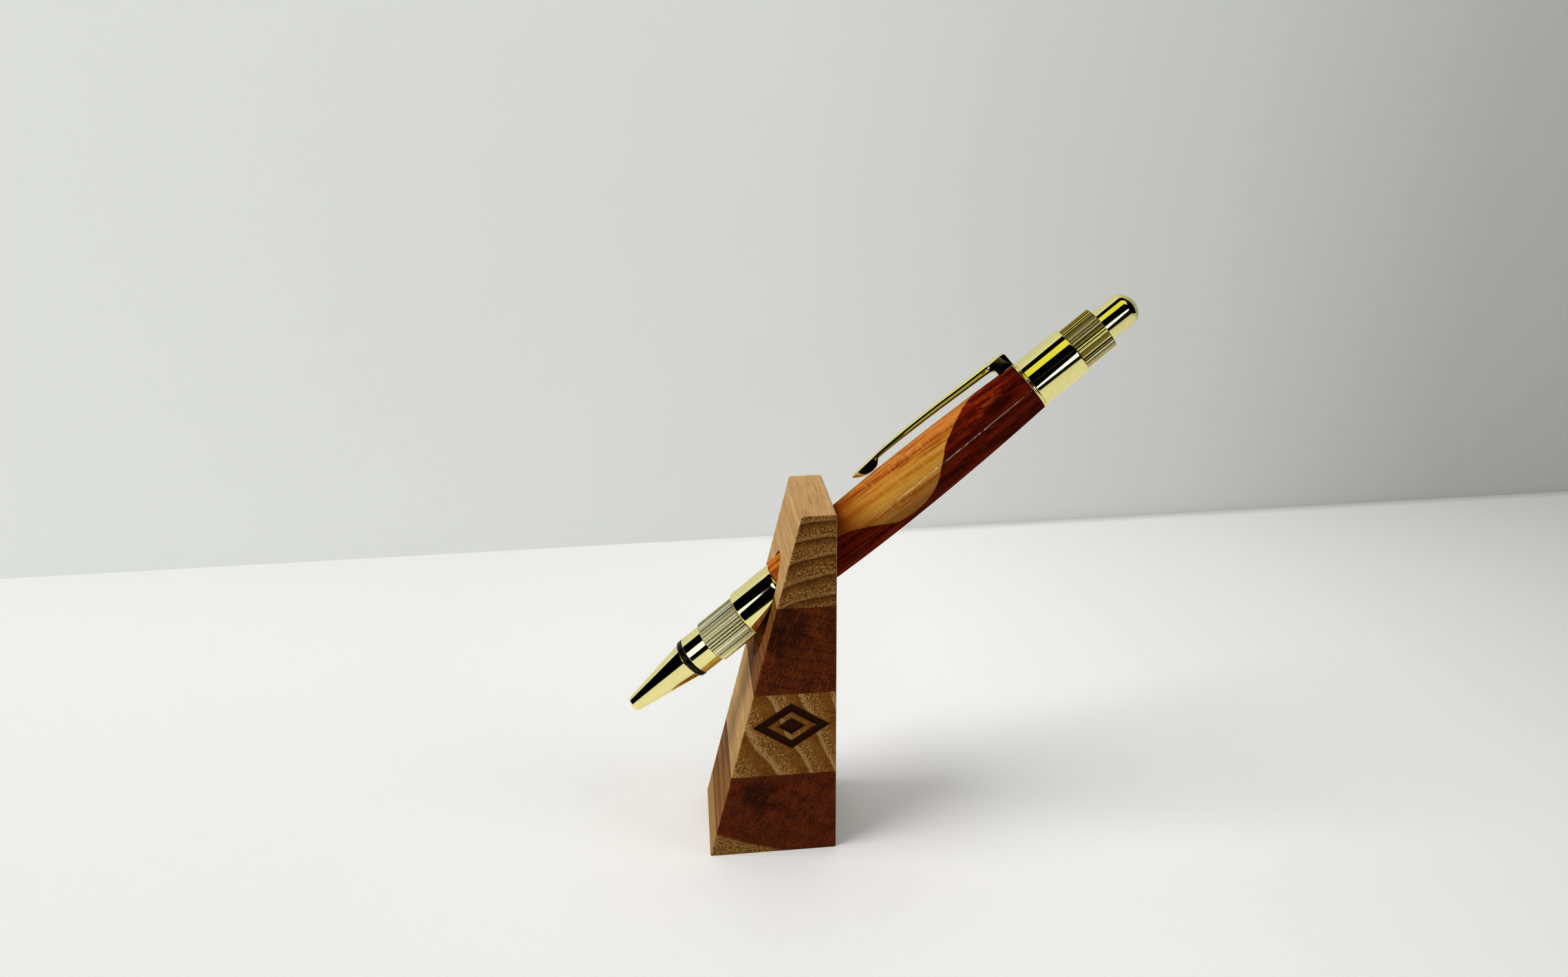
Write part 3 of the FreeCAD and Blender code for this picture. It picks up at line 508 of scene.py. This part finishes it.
def metal_material(name, colour, dull, roughness):
    """Plain turned metal, with fine rings round the pen's axis."""
    s = Shader(name)
    place = s.pen_mm()
    turned = s.noise(s.scaled(place, (0.1, 0.1, 9.0)), detail=3.0)
    cloud = s.noise(s.scaled(place, (0.8, 0.8, 0.8)), detail=3.0)
    return s.finish(
        Base_Color=s.mix(s.band(cloud, 0.3, 0.7), colour, dull),
        Metallic=1.0,
        Roughness=s.plus(s.times(turned, 0.2), roughness),
        Normal=s.bump(turned, 0.004 * MM),
    )


def plastic_material(name, colour, shade, roughness, relief, specular=0.4):
    s = Shader(name)
    place = s.pen_mm()
    cloud = s.noise(s.scaled(place, (0.9, 0.9, 0.9)), detail=3.0)
    skin = s.noise(s.scaled(place, (14.0, 14.0, 14.0)), detail=2.0)
    return s.finish(
        Base_Color=s.mix(s.band(cloud, 0.3, 0.7), colour, shade),
        Roughness=s.plus(s.times(skin, 0.12), roughness),
        Specular_IOR_Level=specular,
        Normal=s.bump(skin, relief * MM),
    )


ash = board_material("ash_board", ASH)
dark = board_material("dark_board", DARK)
golden = board_material("golden_board", GOLDEN)
base = board_material("base_board", BASE)
barrel_wood = barrel_material()
polished = gold_material("polished_gold", 0.045, 0.10)
knurled_gold = gold_material("knurled_gold", 0.20, 0.12, knurled=True)
black_trim = plastic_material(
    "black_trim", (0.002, 0.002, 0.002, 1), (0.005, 0.004, 0.004, 1), 0.08, 0.002, specular=0.12)
brass = metal_material("brass_insert", rgb(206, 176, 98), rgb(178, 146, 74), 0.22)
aluminium = metal_material("aluminium_insert", rgb(196, 198, 200), rgb(170, 172, 176), 0.28)
steel = metal_material("spring_steel", rgb(176, 178, 182), rgb(140, 142, 148), 0.2)
mechanism = plastic_material("mechanism_plastic", rgb(52, 52, 55), rgb(40, 40, 43), 0.42, 0.006)
refill_plastic = plastic_material("refill_plastic", rgb(34, 44, 104), rgb(26, 34, 86), 0.25, 0.003)

CAD_LOOKS = {
    "top_lamination": ash,
    "upper_dark_lamination": dark,
    "lower_light_lamination": golden,
    "base_lamination": base,
    "front_threaded_bush": brass,
    "barrel_tube": brass,
    "rear_threaded_bush": aluminium,
    "mechanism_housing": mechanism,
    "plunger_cam": mechanism,
    "ratchet_cam": mechanism,
    "refill_ball": steel,
    "refill_tip": brass,
    "refill_tube": refill_plastic,
    "refill_plug": refill_plastic,
}
for node, material in CAD_LOOKS.items():
    mesh = nodes[node].data
    mesh.materials.clear()
    mesh.materials.append(material)


# ---- mesh helpers ----
def new_object(name, data):
    made = bpy.data.objects.new(name, data)
    bpy.context.scene.collection.objects.link(made)
    return made


def mesh_object(name, points, faces, material):
    mesh = bpy.data.meshes.new(name)
    mesh.from_pydata(points, [], faces)
    mesh.materials.append(material)
    return new_object(name, mesh)


def add_piece(name, points, faces, material, body, stands_for, sharp=32.0):
    """A mesh from points in the pen's frame, in millimetres; a piece given no body is attached to
    none.
    """
    piece = mesh_object(name, [pen_point(*point) for point in points], faces, material)
    mesh = piece.data
    mesh.validate()
    mesh.polygons.foreach_set("use_smooth", [True] * len(mesh.polygons))
    mesh.set_sharp_from_angle(angle=math.radians(sharp))
    if body:
        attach(piece, body)
    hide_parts(stands_for)
    return piece


def softened(corners):
    """Points of a closed profile, each corner (station, radius, rounding) turned into an arc.

    Points just beyond each arc keep the shading of the long faces flat.
    """
    steps = 6
    margin = 0.04
    profile = []
    count = len(corners)
    for index, (station, radius, rounding) in enumerate(corners):
        here = Vector((station, radius))
        before = Vector(corners[(index - 1) % count][:2])
        after = Vector(corners[(index + 1) % count][:2])
        if rounding == 0:
            profile.append(here)
            continue
        towards_before = (before - here).normalized()
        towards_after = (after - here).normalized()
        reach = min(rounding, 0.45 * (before - here).length, 0.45 * (after - here).length)
        start = here + towards_before * reach
        end = here + towards_after * reach
        if (before - here).length > 2 * reach + margin:
            profile.append(start + towards_before * margin)
        for step in range(steps + 1):
            t = step / steps
            profile.append(start * (1 - t) ** 2 + here * 2 * t * (1 - t) + end * t ** 2)
        if (after - here).length > 2 * reach + margin:
            profile.append(end + towards_after * margin)
    return [(point.x, point.y) for point in profile]


def lathe(profile, segments=224, shape=None):
    """Points and faces of a closed profile of (station, radius) turned round the pen's axis.

    shape(angle, radius) may change a radius, as for flutes.
    """
    points, faces, rings = [], [], []
    for station, radius in profile:
        if radius < 1e-6:
            rings.append([len(points)])
            points.append((0, 0, station))
            continue
        ring = []
        for index in range(segments):
            angle = 2 * math.pi * index / segments
            reach = shape(angle, radius) if shape else radius
            ring.append(len(points))
            points.append((reach * math.cos(angle), reach * math.sin(angle), station))
        rings.append(ring)
    for first, second in zip(rings, rings[1:] + rings[:1]):
        if len(first) == 1 and len(second) == 1:
            continue
        for index in range(segments):
            following = (index + 1) % segments
            if len(first) == 1:
                faces.append((first[0], second[following], second[index]))
            elif len(second) == 1:
                faces.append((first[index], first[following], second[0]))
            else:
                faces.append((first[index], first[following], second[following], second[index]))
    return points, faces


def joined_rings(points, around):
    """Faces of a tube whose points are rings of so many points, with both ends closed."""
    faces = []
    for start in range(0, len(points) - around, around):
        for step in range(around):
            a, b = start + step, start + (step + 1) % around
            faces.append((a, b, b + around, a + around))
    faces.append(tuple(range(around))[::-1])
    faces.append(tuple(range(len(points) - around, len(points))))
    return faces


def turned_piece(name, corners, material, body, stands_for):
    points, faces = lathe(softened(corners))
    add_piece(name, points, faces, material, body, stands_for)


# ---- nib assembly ----
NIB_END = 16.55
TRIM_START, TRIM_END, TRIM_RADIUS = 16.6, 17.98, 4.55
COUPLER_START, COUPLER_END, COUPLER_RADIUS = 18.0, 22.9, 4.53
THREAD_RADIUS, THREAD_END, THREAD_PITCH = 3.75, 40.8, 1.0
REFILL_BORE = 3.15
KNURL_SEAT = 4.0

turned_piece(
    "nib",
    [
        (0.0, 1.25, 0.02), (0.0, 1.38, 0.04), (0.12, 1.56, 0.06), (0.27, 1.70, 0.08),
        (0.46, 1.79, 0.1), (NIB_END, 4.24, 0.22), (NIB_END, 3.5, 0.05), (14.55, 3.5, 0),
        (14.55, 2.15, 0), (7.8, 2.15, 0), (7.8, 1.25, 0.1),
    ],
    polished, "nib", "nib_cone",
)
turned_piece(
    "nib_trim",
    [
        (TRIM_START, 3.5, 0), (TRIM_START, TRIM_RADIUS, 0.42),
        (TRIM_END, TRIM_RADIUS, 0.42), (TRIM_END, 3.5, 0),
    ],
    black_trim, "nib_carrier", "trim_ring",
)


def threaded(start, end, radius, depth, pitch, run_out):
    """Profile corners of a thread drawn as close rings, from start to end."""
    corners = []
    station = start
    while station + pitch < end - run_out:
        corners += [(station, radius - depth, 0.05), (station + pitch / 2, radius, 0.05)]
        station += pitch
    corners.append((station, radius - depth, 0))
    return corners


turned_piece(
    "coupler",
    [
        (14.6, REFILL_BORE, 0), (14.6, 3.5, 0), (COUPLER_START, 3.5, 0),
        (COUPLER_START, COUPLER_RADIUS, 0.12), (COUPLER_END, COUPLER_RADIUS, 0.12),
        (COUPLER_END, KNURL_SEAT, 0), (32.5, KNURL_SEAT, 0),
    ]
    + threaded(32.6, THREAD_END - 0.3, THREAD_RADIUS, 0.32, THREAD_PITCH, 0.2)
    + [(THREAD_END, THREAD_RADIUS - 0.35, 0.1), (THREAD_END, REFILL_BORE, 0)],
    polished, "nib", "front_coupler",
)

KNURL_DEPTH = 0.30
KNURL_BEVEL = 0.14


def flute_depths(seed):
    """Each flute's depth and place differ a little, as a rolled knurl's do."""
    draw = random.Random(seed)
    return [(draw.uniform(0.82, 1.06), draw.uniform(-0.08, 0.08)) for _ in range(KNURL_TEETH)]


def knurl(name, start, end, radius, seat, body, stands_for, seed):
    """A ring with straight V flutes that run out in bevelled ends."""
    cuts = flute_depths(seed)

    def shape(angle, reach):
        if reach <= seat + 1e-6:
            return reach
        place = (angle / (2 * math.pi) * KNURL_TEETH) % KNURL_TEETH
        index = int(place) % KNURL_TEETH
        deep, shift = cuts[index]
        across = abs(place - int(place) - 0.5 + shift) * 2
        return reach - KNURL_DEPTH * deep * (1 - math.sin(min(across, 1.0) * math.pi / 2))

    stations = [(start, seat)]
    for step in range(5):
        t = step / 4 * math.pi / 2
        inward, down = KNURL_BEVEL * (1 - math.cos(t)), KNURL_BEVEL * (1 - math.sin(t))
        stations.append((start + inward, radius - down))
    mirrored = [(start + end - station, reach) for station, reach in stations]
    inner = 10
    middle = [
        (start + KNURL_BEVEL * 1.3 + (end - start - KNURL_BEVEL * 2.6) * step / inner, radius)
        for step in range(inner + 1)
    ]
    points, faces = lathe(stations + middle + mirrored[::-1], KNURL_TEETH * 12, shape)
    add_piece(name, points, faces, knurled_gold, body, stands_for, sharp=42.0)


knurl("lower_knurl", 23.0, 32.5, LOWER_KNURL_RADIUS, KNURL_SEAT, "nib", "lower_knurled_ring", 5)
knurl("upper_knurl", 120.35, 127.5, UPPER_KNURL_RADIUS, 4.3, "pen_body", "upper_knurled_ring", 8)

# ---- barrel assembly ----
BARREL_START, BARREL_END = 43.55, 109.0
BELLY_STATION, BELLY_RADIUS = 72.0, 6.5
FRONT_RADIUS, REAR_RADIUS = 5.55, 5.42
TUBE_RADIUS = 4.75

turned_piece(
    "front_band",
    [
        (32.7, TUBE_RADIUS, 0), (32.7, 5.42, 0.5), (42.3, 5.42, 0.3), (42.75, 5.47, 0.3),
        (43.2, 5.44, 0.3), (43.5, 5.2, 0.15), (43.5, TUBE_RADIUS, 0),
    ],
    polished, "pen_body", "lower_band",
)


def barrel_radius(station):
    if station < BELLY_STATION:
        run, drop = BELLY_STATION - BARREL_START, BELLY_RADIUS - FRONT_RADIUS
    else:
        run, drop = BARREL_END - BELLY_STATION, BELLY_RADIUS - REAR_RADIUS
    bend = (run * run + drop * drop) / (2 * drop)
    offset = station - BELLY_STATION
    return BELLY_RADIUS - bend + math.sqrt(bend * bend - offset * offset)


WOOD_STEPS, WOOD_BEVEL = 96, 0.12
wood_profile = [(BARREL_START, TUBE_RADIUS), (BARREL_START, FRONT_RADIUS - WOOD_BEVEL)]
for step in range(WOOD_STEPS + 1):
    run = BARREL_END - BARREL_START - WOOD_BEVEL
    station = BARREL_START + WOOD_BEVEL / 2 + run * step / WOOD_STEPS
    wood_profile.append((station, barrel_radius(station)))
wood_profile += [(BARREL_END, REAR_RADIUS - WOOD_BEVEL), (BARREL_END, TUBE_RADIUS)]
points, faces = lathe(wood_profile, 160)
barrel = add_piece(
    "barrel", points, faces, barrel_wood, "pen_body", "wood_barrel", sharp=40.0)

turned_piece(
    "clip_washer",
    [
        (109.0, 4.2, 0), (109.0, 5.5, 0.12), (109.27, 5.52, 0.12), (109.3, 5.40, 0.05),
        (109.33, 5.50, 0.12), (109.6, 5.48, 0.12), (109.6, 4.2, 0),
    ],
    polished, "pen_body", "clip_ring",
)
turned_piece(
    "rear_band",
    [
        (109.62, 4.2, 0), (109.62, 5.36, 0.12), (120.3, 5.4, 0.28), (120.3, 4.9, 0),
        (113.1, 4.9, 0), (113.1, 4.85, 0), (110.8, 4.85, 0), (110.8, 4.2, 0),
    ],
    polished, "pen_body", "upper_band",
)

# ---- button ----
BUTTON_RADIUS, BUTTON_SHOULDER, BUTTON_TOP, BUTTON_WALL, BUTTON_CORNER = 3.5, 133.2, 135.7, 0.3, 1.6
SKIRT_START, SKIRT_END, SKIRT_RADIUS = 119.8, 126.4, 3.67


def button_dome(inset):
    """Outline of the domed end from side to axis: a corner arc that runs into a flatter cap."""
    corner_centre = BUTTON_RADIUS - BUTTON_CORNER
    height = BUTTON_TOP - BUTTON_SHOULDER
    reach_squared = corner_centre ** 2 + height ** 2
    cap_radius = (reach_squared - BUTTON_CORNER ** 2) / (2 * (height - BUTTON_CORNER))
    meeting = math.acos(corner_centre / (cap_radius - BUTTON_CORNER))
    steps = 14
    corner_size, cap_size = BUTTON_CORNER - inset, cap_radius - inset
    arcs = (
        (0.0, meeting, BUTTON_SHOULDER, corner_centre, corner_size),
        (meeting, math.pi / 2, BUTTON_TOP - cap_radius, 0.0, cap_size),
    )
    outline = []
    for first, last, centre_station, centre_radius, size in arcs:
        for step in range(steps):
            angle = first + (last - first) * step / steps
            outline.append((
                centre_station + size * math.sin(angle), centre_radius + size * math.cos(angle)))
    return outline + [(BUTTON_TOP - inset, 0.0)]


button_profile = [
    (SKIRT_START, BUTTON_RADIUS - BUTTON_WALL), (SKIRT_START, SKIRT_RADIUS),
    (SKIRT_END, SKIRT_RADIUS), (SKIRT_END, BUTTON_RADIUS),
    (127.5, BUTTON_RADIUS), (BUTTON_SHOULDER - 0.3, BUTTON_RADIUS),
]
points, faces = lathe(button_profile + button_dome(0.01) + button_dome(BUTTON_WALL)[::-1])
add_piece(
    "button_cap", points, faces, polished, "button", "push_button", sharp=40.0)

# ---- clip ----
# station, crest, shoulder height, half width, underside, half width of the underside
CLIP_SECTIONS = [
    (109.52, 8.05, 7.85, 1.35, 5.30, 1.45),
    (109.40, 8.50, 8.15, 1.50, 5.30, 1.58),
    (109.10, 8.80, 8.35, 1.58, 5.30, 1.60),
    (108.40, 8.97, 8.42, 1.60, 5.30, 1.60),
    (107.20, 9.05, 8.42, 1.60, 5.30, 1.60),
    (106.10, 9.07, 8.40, 1.60, 5.36, 1.58),
    (105.86, 9.08, 8.38, 1.59, 5.60, 1.54),
    (105.70, 9.08, 8.37, 1.58, 6.30, 1.46),
    (105.45, 9.09, 8.44, 1.50, 6.85, 1.62),
    (105.00, 9.10, 8.48, 1.32, 7.08, 1.64),
    (102.00, 9.15, 8.56, 1.28, 7.28, 1.56),
    (98.20, 9.24, 8.68, 1.20, 7.44, 1.47),
    (91.70, 9.44, 8.92, 1.09, 7.74, 1.34),
    (85.00, 9.52, 9.04, 1.00, 7.94, 1.23),
    (80.50, 9.48, 9.02, 0.98, 8.02, 1.20),
    (77.60, 9.38, 8.94, 1.06, 8.04, 1.26),
    (76.30, 9.30, 8.86, 1.12, 7.98, 1.34),
    (75.80, 9.26, 8.80, 1.16, 7.60, 1.42),
    (75.40, 9.23, 8.76, 1.18, 7.16, 1.50),
    (74.80, 9.19, 8.72, 1.43, 6.85, 1.42),
    (74.00, 9.12, 8.66, 1.46, 6.68, 1.44),
    (73.20, 9.05, 8.60, 1.45, 6.66, 1.43),
    (72.20, 8.96, 8.53, 1.34, 6.80, 1.32),
    (71.20, 8.86, 8.46, 1.12, 7.12, 1.10),
    (70.30, 8.76, 8.42, 0.82, 7.56, 0.80),
    (69.70, 8.66, 8.38, 0.52, 7.92, 0.50),
    (69.42, 8.52, 8.34, 0.26, 8.10, 0.24),
]


def clip_ring_points(station, crest, shoulder, half, bottom, half_bottom):
    """One cross-section: low arch, tight shoulders, sides leaning in, rounded lower edges."""
    arch_end = math.radians(55)
    bend = 0.34
    corner = min(0.16, 0.45 * (shoulder - bottom), 0.8 * half_bottom)
    right = []
    for step in range(9):
        angle = arch_end * step / 8
        rise = (math.cos(angle) - math.cos(arch_end)) / (1 - math.cos(arch_end))
        across = half * math.sin(angle) / math.sin(arch_end)
        right.append((shoulder + (crest - shoulder) * rise, across))
    for share in (0.5, 1.0):
        right.append((shoulder - bend * share, half))
    side_top = shoulder - bend
    for share in (0.08, 0.5, 1.0):
        right.append((
            side_top + (bottom + corner - side_top) * share, half + (half_bottom - half) * share))
    for step in range(1, 6):
        angle = math.pi / 2 * step / 5
        up, inward = corner * (1 - math.sin(angle)), corner * (1 - math.cos(angle))
        right.append((bottom + up, half_bottom - inward))
    right.append((bottom, 0.0))
    left = [(height, -across) for height, across in right[1:-1]][::-1]
    return [(height, across, station) for height, across in right + left]


def eased(sections, gap):
    """More sections between those given, along monotone curves, about gap apart."""
    def slope(index, item):
        if index in (0, len(sections) - 1):
            return 0.0
        before, here, after = sections[index - 1], sections[index], sections[index + 1]
        first = (here[item] - before[item]) / (here[0] - before[0])
        second = (after[item] - here[item]) / (after[0] - here[0])
        if first * second <= 0:
            return 0.0
        return 2 * first * second / (first + second)

    slopes = [[slope(i, k) for k in range(1, 6)] for i in range(len(sections))]
    made = [sections[0]]
    for index in range(len(sections) - 1):
        a, b = sections[index], sections[index + 1]
        run = b[0] - a[0]
        steps = max(2, int(abs(run) / gap))
        for step in range(1, steps + 1):
            t = step / steps
            values = [a[0] + run * t]
            for k in range(1, 6):
                m0, m1 = slopes[index][k - 1] * run, slopes[index + 1][k - 1] * run
                values.append(
                    a[k] * (2 * t ** 3 - 3 * t ** 2 + 1) + m0 * (t ** 3 - 2 * t ** 2 + t)
                    + b[k] * (-2 * t ** 3 + 3 * t ** 2) + m1 * (t ** 3 - t ** 2)
                )
            made.append(tuple(values))
    return made


clip_rings = [clip_ring_points(*section) for section in eased(CLIP_SECTIONS, 0.35)]
points = [point for ring in clip_rings for point in ring]
faces = joined_rings(points, len(clip_rings[0]))
clip = add_piece("clip", points, faces, polished, None, "clip_arm", sharp=38.0)
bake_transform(clip)

# ---- return spring ----
SPRING_START, SPRING_END, SPRING_COILS = 8.1, 19.7, 8
COIL_RADIUS, WIRE_RADIUS, WIRE_MARGIN = 1.75, 0.2, 0.22
WIRE_SIDES, COIL_STEPS = 10, 28
points = []
total = SPRING_COILS * COIL_STEPS
for step in range(total + 1):
    share = step / total
    angle = 2 * math.pi * SPRING_COILS * share
    station = SPRING_START + WIRE_MARGIN + (SPRING_END - SPRING_START - 2 * WIRE_MARGIN) * share
    for side in range(WIRE_SIDES):
        turn = 2 * math.pi * side / WIRE_SIDES
        reach = COIL_RADIUS + WIRE_RADIUS * math.cos(turn)
        height = station + WIRE_RADIUS * math.sin(turn)
        points.append((reach * math.cos(angle), reach * math.sin(angle), height))
faces = joined_rings(points, WIRE_SIDES)
spring = add_piece("spring", points, faces, steel, "nib", "return_spring")
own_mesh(spring)

# ---- set: floor, wall, what the metal reflects ----
WALL_Y, WALL_TURN = 0.16807, 0.01275   # the wall stands a little askew
TABLE_EDGE_Y = -0.345


def set_plane(name, corners, material, solid=True):
    """A flat sheet of the set; one that isn't solid only shows as a reflection."""
    plane = mesh_object(name, corners, [tuple(range(len(corners)))], material)
    plane.visible_camera = plane.visible_diffuse = solid
    plane.visible_transmission = plane.visible_shadow = solid
    plane.visible_volume_scatter = False


def glowing(name, colour, strength):
    s = Shader(name)
    s.put(s.output.inputs[0], s.emission(colour, strength))
    return s.material


PAPER_LEFT, PAPER_RIGHT = -0.29, 0.34   # where the painted shading of floor and wall starts and ends
BACKDROP_COLOUR = (0.66, 0.67, 0.655, 1)


def paper_material(name, colour, shading, one_sided=False, is_floor=False):
    """Matt paper with painted shading; shading lists (share of the way from left to right,
    brightness).
    """
    s = Shader(name)
    place = s.node("ShaderNodeTexCoord").outputs["Object"]
    x, y, _ = s.split(place)
    # painted shading: brightness painted across the paper from left to right
    way = s.math("DIVIDE", s.minus(x, PAPER_LEFT), PAPER_RIGHT - PAPER_LEFT)
    painted_shade_here = s.ramp(way, [(share, (level,) * 3 + (1.0,)) for share, level in shading])
    cloud = s.noise(s.scaled(place, (3.0, 3.0, 3.0)), detail=2.0)
    grain = s.noise(s.scaled(place, (900.0, 900.0, 900.0)), detail=2.0)
    shade = tuple(value * 0.97 for value in colour[:3]) + (1.0,)
    if is_floor:
        # painted shade: a soft dark line where the wall stands on the floor
        reach = s.minus(y, s.times(x, WALL_TURN))
        corner = s.times(s.band(reach, WALL_Y - 0.006, WALL_Y), s.band(x, -0.05, 0.12))
        painted_shade_here = s.mix(s.times(corner, 0.45), painted_shade_here, (0.35, 0.35, 0.35, 1))
    s.finish(
        Base_Color=s.mix(1.0, s.mix(cloud, shade, colour), painted_shade_here, "MULTIPLY"),
        Roughness=0.75,
        Specular_IOR_Level=0.15,
        Normal=s.bump(grain, 0.02 * MM),
    )
    surface = s.output.inputs[0].links[0].from_socket
    if is_floor:
        # far from the stand the floor turns into the backdrop
        far = s.band(s.length(x, y), 0.6, 1.5)
        s.put(s.output.inputs[0], s.mixed_surface(far, surface, s.emission(BACKDROP_COLOUR)))
    if one_sided:
        behind = s.node("ShaderNodeNewGeometry").outputs["Backfacing"]
        clear = s.node("ShaderNodeBsdfTransparent").outputs[0]
        s.put(s.output.inputs[0], s.mixed_surface(behind, surface, clear))
    return s.material


# painted shading: the floor lightest in the middle and darkest at the far right, the wall darkening
# from left to right
floor_paper = paper_material(
    "floor_paper", (0.86, 0.865, 0.85, 1),
    [(0.0, 0.87), (0.3, 0.91), (0.55, 1.01), (0.75, 0.90), (1.0, 0.70)], is_floor=True,
)
wall_paper = paper_material(
    "wall_paper", (0.74, 0.75, 0.735, 1),
    [(0.0, 1.40), (0.5, 1.31), (0.75, 1.10), (0.92, 0.85), (1.0, 0.83)], one_sided=True,
)
FLOOR_REACH = 3.0
WALL_LEFT, WALL_RIGHT, WALL_TOP = -0.5, 1.6, 0.62
CEILING_HEIGHT = 0.5


def level_rectangle(left, right, near, far, height):
    return [(left, near, height), (right, near, height), (right, far, height), (left, far, height)]


def standing(outline, near=0.0, turn=0.0):
    """Corners (x, z) of an upright sheet, as points in space."""
    return [(x, near + turn * x, z) for x, z in outline]


def card(name, corners, colour, strength):
    """A glowing sheet that is seen only as a reflection in the metal."""
    set_plane(name, corners, glowing(name, colour, strength), solid=False)


whole_floor = (-FLOOR_REACH, FLOOR_REACH, -FLOOR_REACH, FLOOR_REACH)
set_plane("floor", level_rectangle(*whole_floor, 0), floor_paper)
set_plane(
    "wall",
    standing(
        [(WALL_LEFT, 0), (WALL_RIGHT, 0), (WALL_RIGHT, WALL_TOP), (WALL_LEFT, WALL_TOP)],
        WALL_Y, WALL_TURN,
    ),
    wall_paper,
)
card(
    "dark_room_floor",
    level_rectangle(-FLOOR_REACH, FLOOR_REACH, -FLOOR_REACH, TABLE_EDGE_Y, 0.001),
    (0.5, 0.6, 0.35, 1), 0.010,
)
# what the side of the clip arm mirrors
card(
    "arm_card", [(x, y, CEILING_HEIGHT) for x, y in (
        (-0.46, -0.45), (-0.225, -0.45), (-0.225, -0.25), (-0.46, -0.27))],
    (0.80, 0.72, 0.22, 1), 0.40,
)
# what the bands mirror
card(
    "ceiling_card", level_rectangle(-0.225, 0.2, -0.335, -0.065, CEILING_HEIGHT),
    (0.98, 0.97, 0.16, 1), 0.85,
)
card(
    "right_card", standing([(0.088, 0.08), (0.15, 0.08), (0.15, 0.2), (0.088, 0.2)], TABLE_EDGE_Y),
    (0.62, 0.68, 1.0, 1), 2.8,
)
card(
    "left_card",
    standing(
        [(-0.48, 0.118), (-0.235, 0.118), (-0.32, 0.262), (-0.395, 0.33), (-0.565, 0.37)],
        TABLE_EDGE_Y,
    ),
    (0.62, 0.68, 1.0, 1), 2.3,
)
card(
    "thin_card",
    standing([(-0.02, 0.229), (0.08, 0.229), (0.08, 0.235), (-0.02, 0.235)], TABLE_EDGE_Y),
    (0.8, 0.8, 0.76, 1), 0.1,
)


def backdrop(radius, rows):
    """A pale dome that only the camera sees, for the views that look past the set."""
    points, faces = [], []
    around = rows * 2
    for row in range(rows + 1):
        tilt = math.pi * row / rows
        for column in range(around):
            turn = math.pi * column / rows
            points.append((
                radius * math.sin(tilt) * math.cos(turn), radius * math.sin(tilt) * math.sin(turn),
                radius * math.cos(tilt),
            ))
    for start in range(0, rows * around, around):
        for column in range(around):
            a, b = start + column, start + (column + 1) % around
            faces.append((a, b, b + around, a + around))
    dome = mesh_object("backdrop", points, faces, glowing("backdrop", BACKDROP_COLOUR, 1.0))
    dome.visible_diffuse = dome.visible_glossy = dome.visible_shadow = False
    dome.visible_transmission = dome.visible_volume_scatter = False


backdrop(6.0, 16)


LIT_PLACE = Vector((0.02, 0, 0.05))


def soft_light(name, place, size, power, colour=(1, 1, 1)):
    """A round lamp that looks at the object and isn't mirrored in it."""
    data = bpy.data.lights.new(name, "AREA")
    data.shape = "DISK"
    data.size = size
    data.energy = power
    data.color = colour
    lamp = new_object(name, data)
    lamp.location = place
    lamp.rotation_euler = (LIT_PLACE - Vector(place)).to_track_quat("-Z", "Y").to_euler()
    lamp.visible_glossy = lamp.visible_camera = False


soft_light("key", (-1.0, -0.2, 1.6), 1.0, 26.0, (1.0, 0.99, 0.975))
soft_light("right", (1.0, -0.35, 1.0), 0.5, 2.4)
soft_light("top", (0.1, -0.3, 1.5), 1.8, 4.4)
soft_light("front", (0.1, -1.3, 0.7), 1.2, 3.2)

# a bright strip that only the lacquered barrel mirrors, as a thin broken line
glint = bpy.data.lights.new("glint", "AREA")
glint.shape = "RECTANGLE"
glint.size, glint.size_y = 0.135, 0.006
glint.energy = 9.5
glint.color = (1.0, 0.82, 0.66)
glint_lamp = new_object("glint", glint)
slant = math.radians(39)
strip_side = Vector((math.cos(slant), 0, math.sin(slant)))
strip_back = Vector((0, -1, 0))
glint_lamp.matrix_world = Matrix.Translation((0.058, TABLE_EDGE_Y, 0.0965)) @ Matrix(
    (strip_side, strip_back.cross(strip_side), strip_back)).transposed().to_4x4()
glint_lamp.visible_diffuse = glint_lamp.visible_camera = False
lacquered = bpy.data.collections.new("lacquered")
lacquered.objects.link(barrel)
glint_lamp.light_linking.receiver_collection = lacquered

world = bpy.data.worlds.new("studio")
world.use_nodes = True
world.node_tree.nodes["Background"].inputs["Color"].default_value = (0, 0, 0, 1)
bpy.context.scene.world = world

# ---- camera ----
CAMERA_PLACE = Vector((-13.87, -199.05, 155.19)) * MM
CAMERA_AZIMUTH, CAMERA_ELEVATION, CAMERA_ROLL = -5.322, 20.216, -0.846
azimuth, elevation = math.radians(CAMERA_AZIMUTH), math.radians(CAMERA_ELEVATION)
back = Vector((
    math.sin(azimuth) * math.cos(elevation),
    -math.cos(azimuth) * math.cos(elevation),
    math.sin(elevation),
))
level = (-back).cross(Vector((0, 0, 1))).normalized()
upward = level.cross(-back)
roll = math.radians(CAMERA_ROLL)
right = level * math.cos(roll) + upward * math.sin(roll)
upright = upward * math.cos(roll) - level * math.sin(roll)
camera = new_object("camera", bpy.data.cameras.new("camera"))
camera.data.lens, camera.data.sensor_width = 23.60, 36.0
camera.data.clip_start = 0.005
camera.rotation_mode = "QUATERNION"
camera.rotation_quaternion = Matrix((right, upright, back)).transposed().to_quaternion()
camera.location = CAMERA_PLACE
bpy.context.scene.camera = camera
bpy.context.scene.view_settings.view_transform = "Standard"
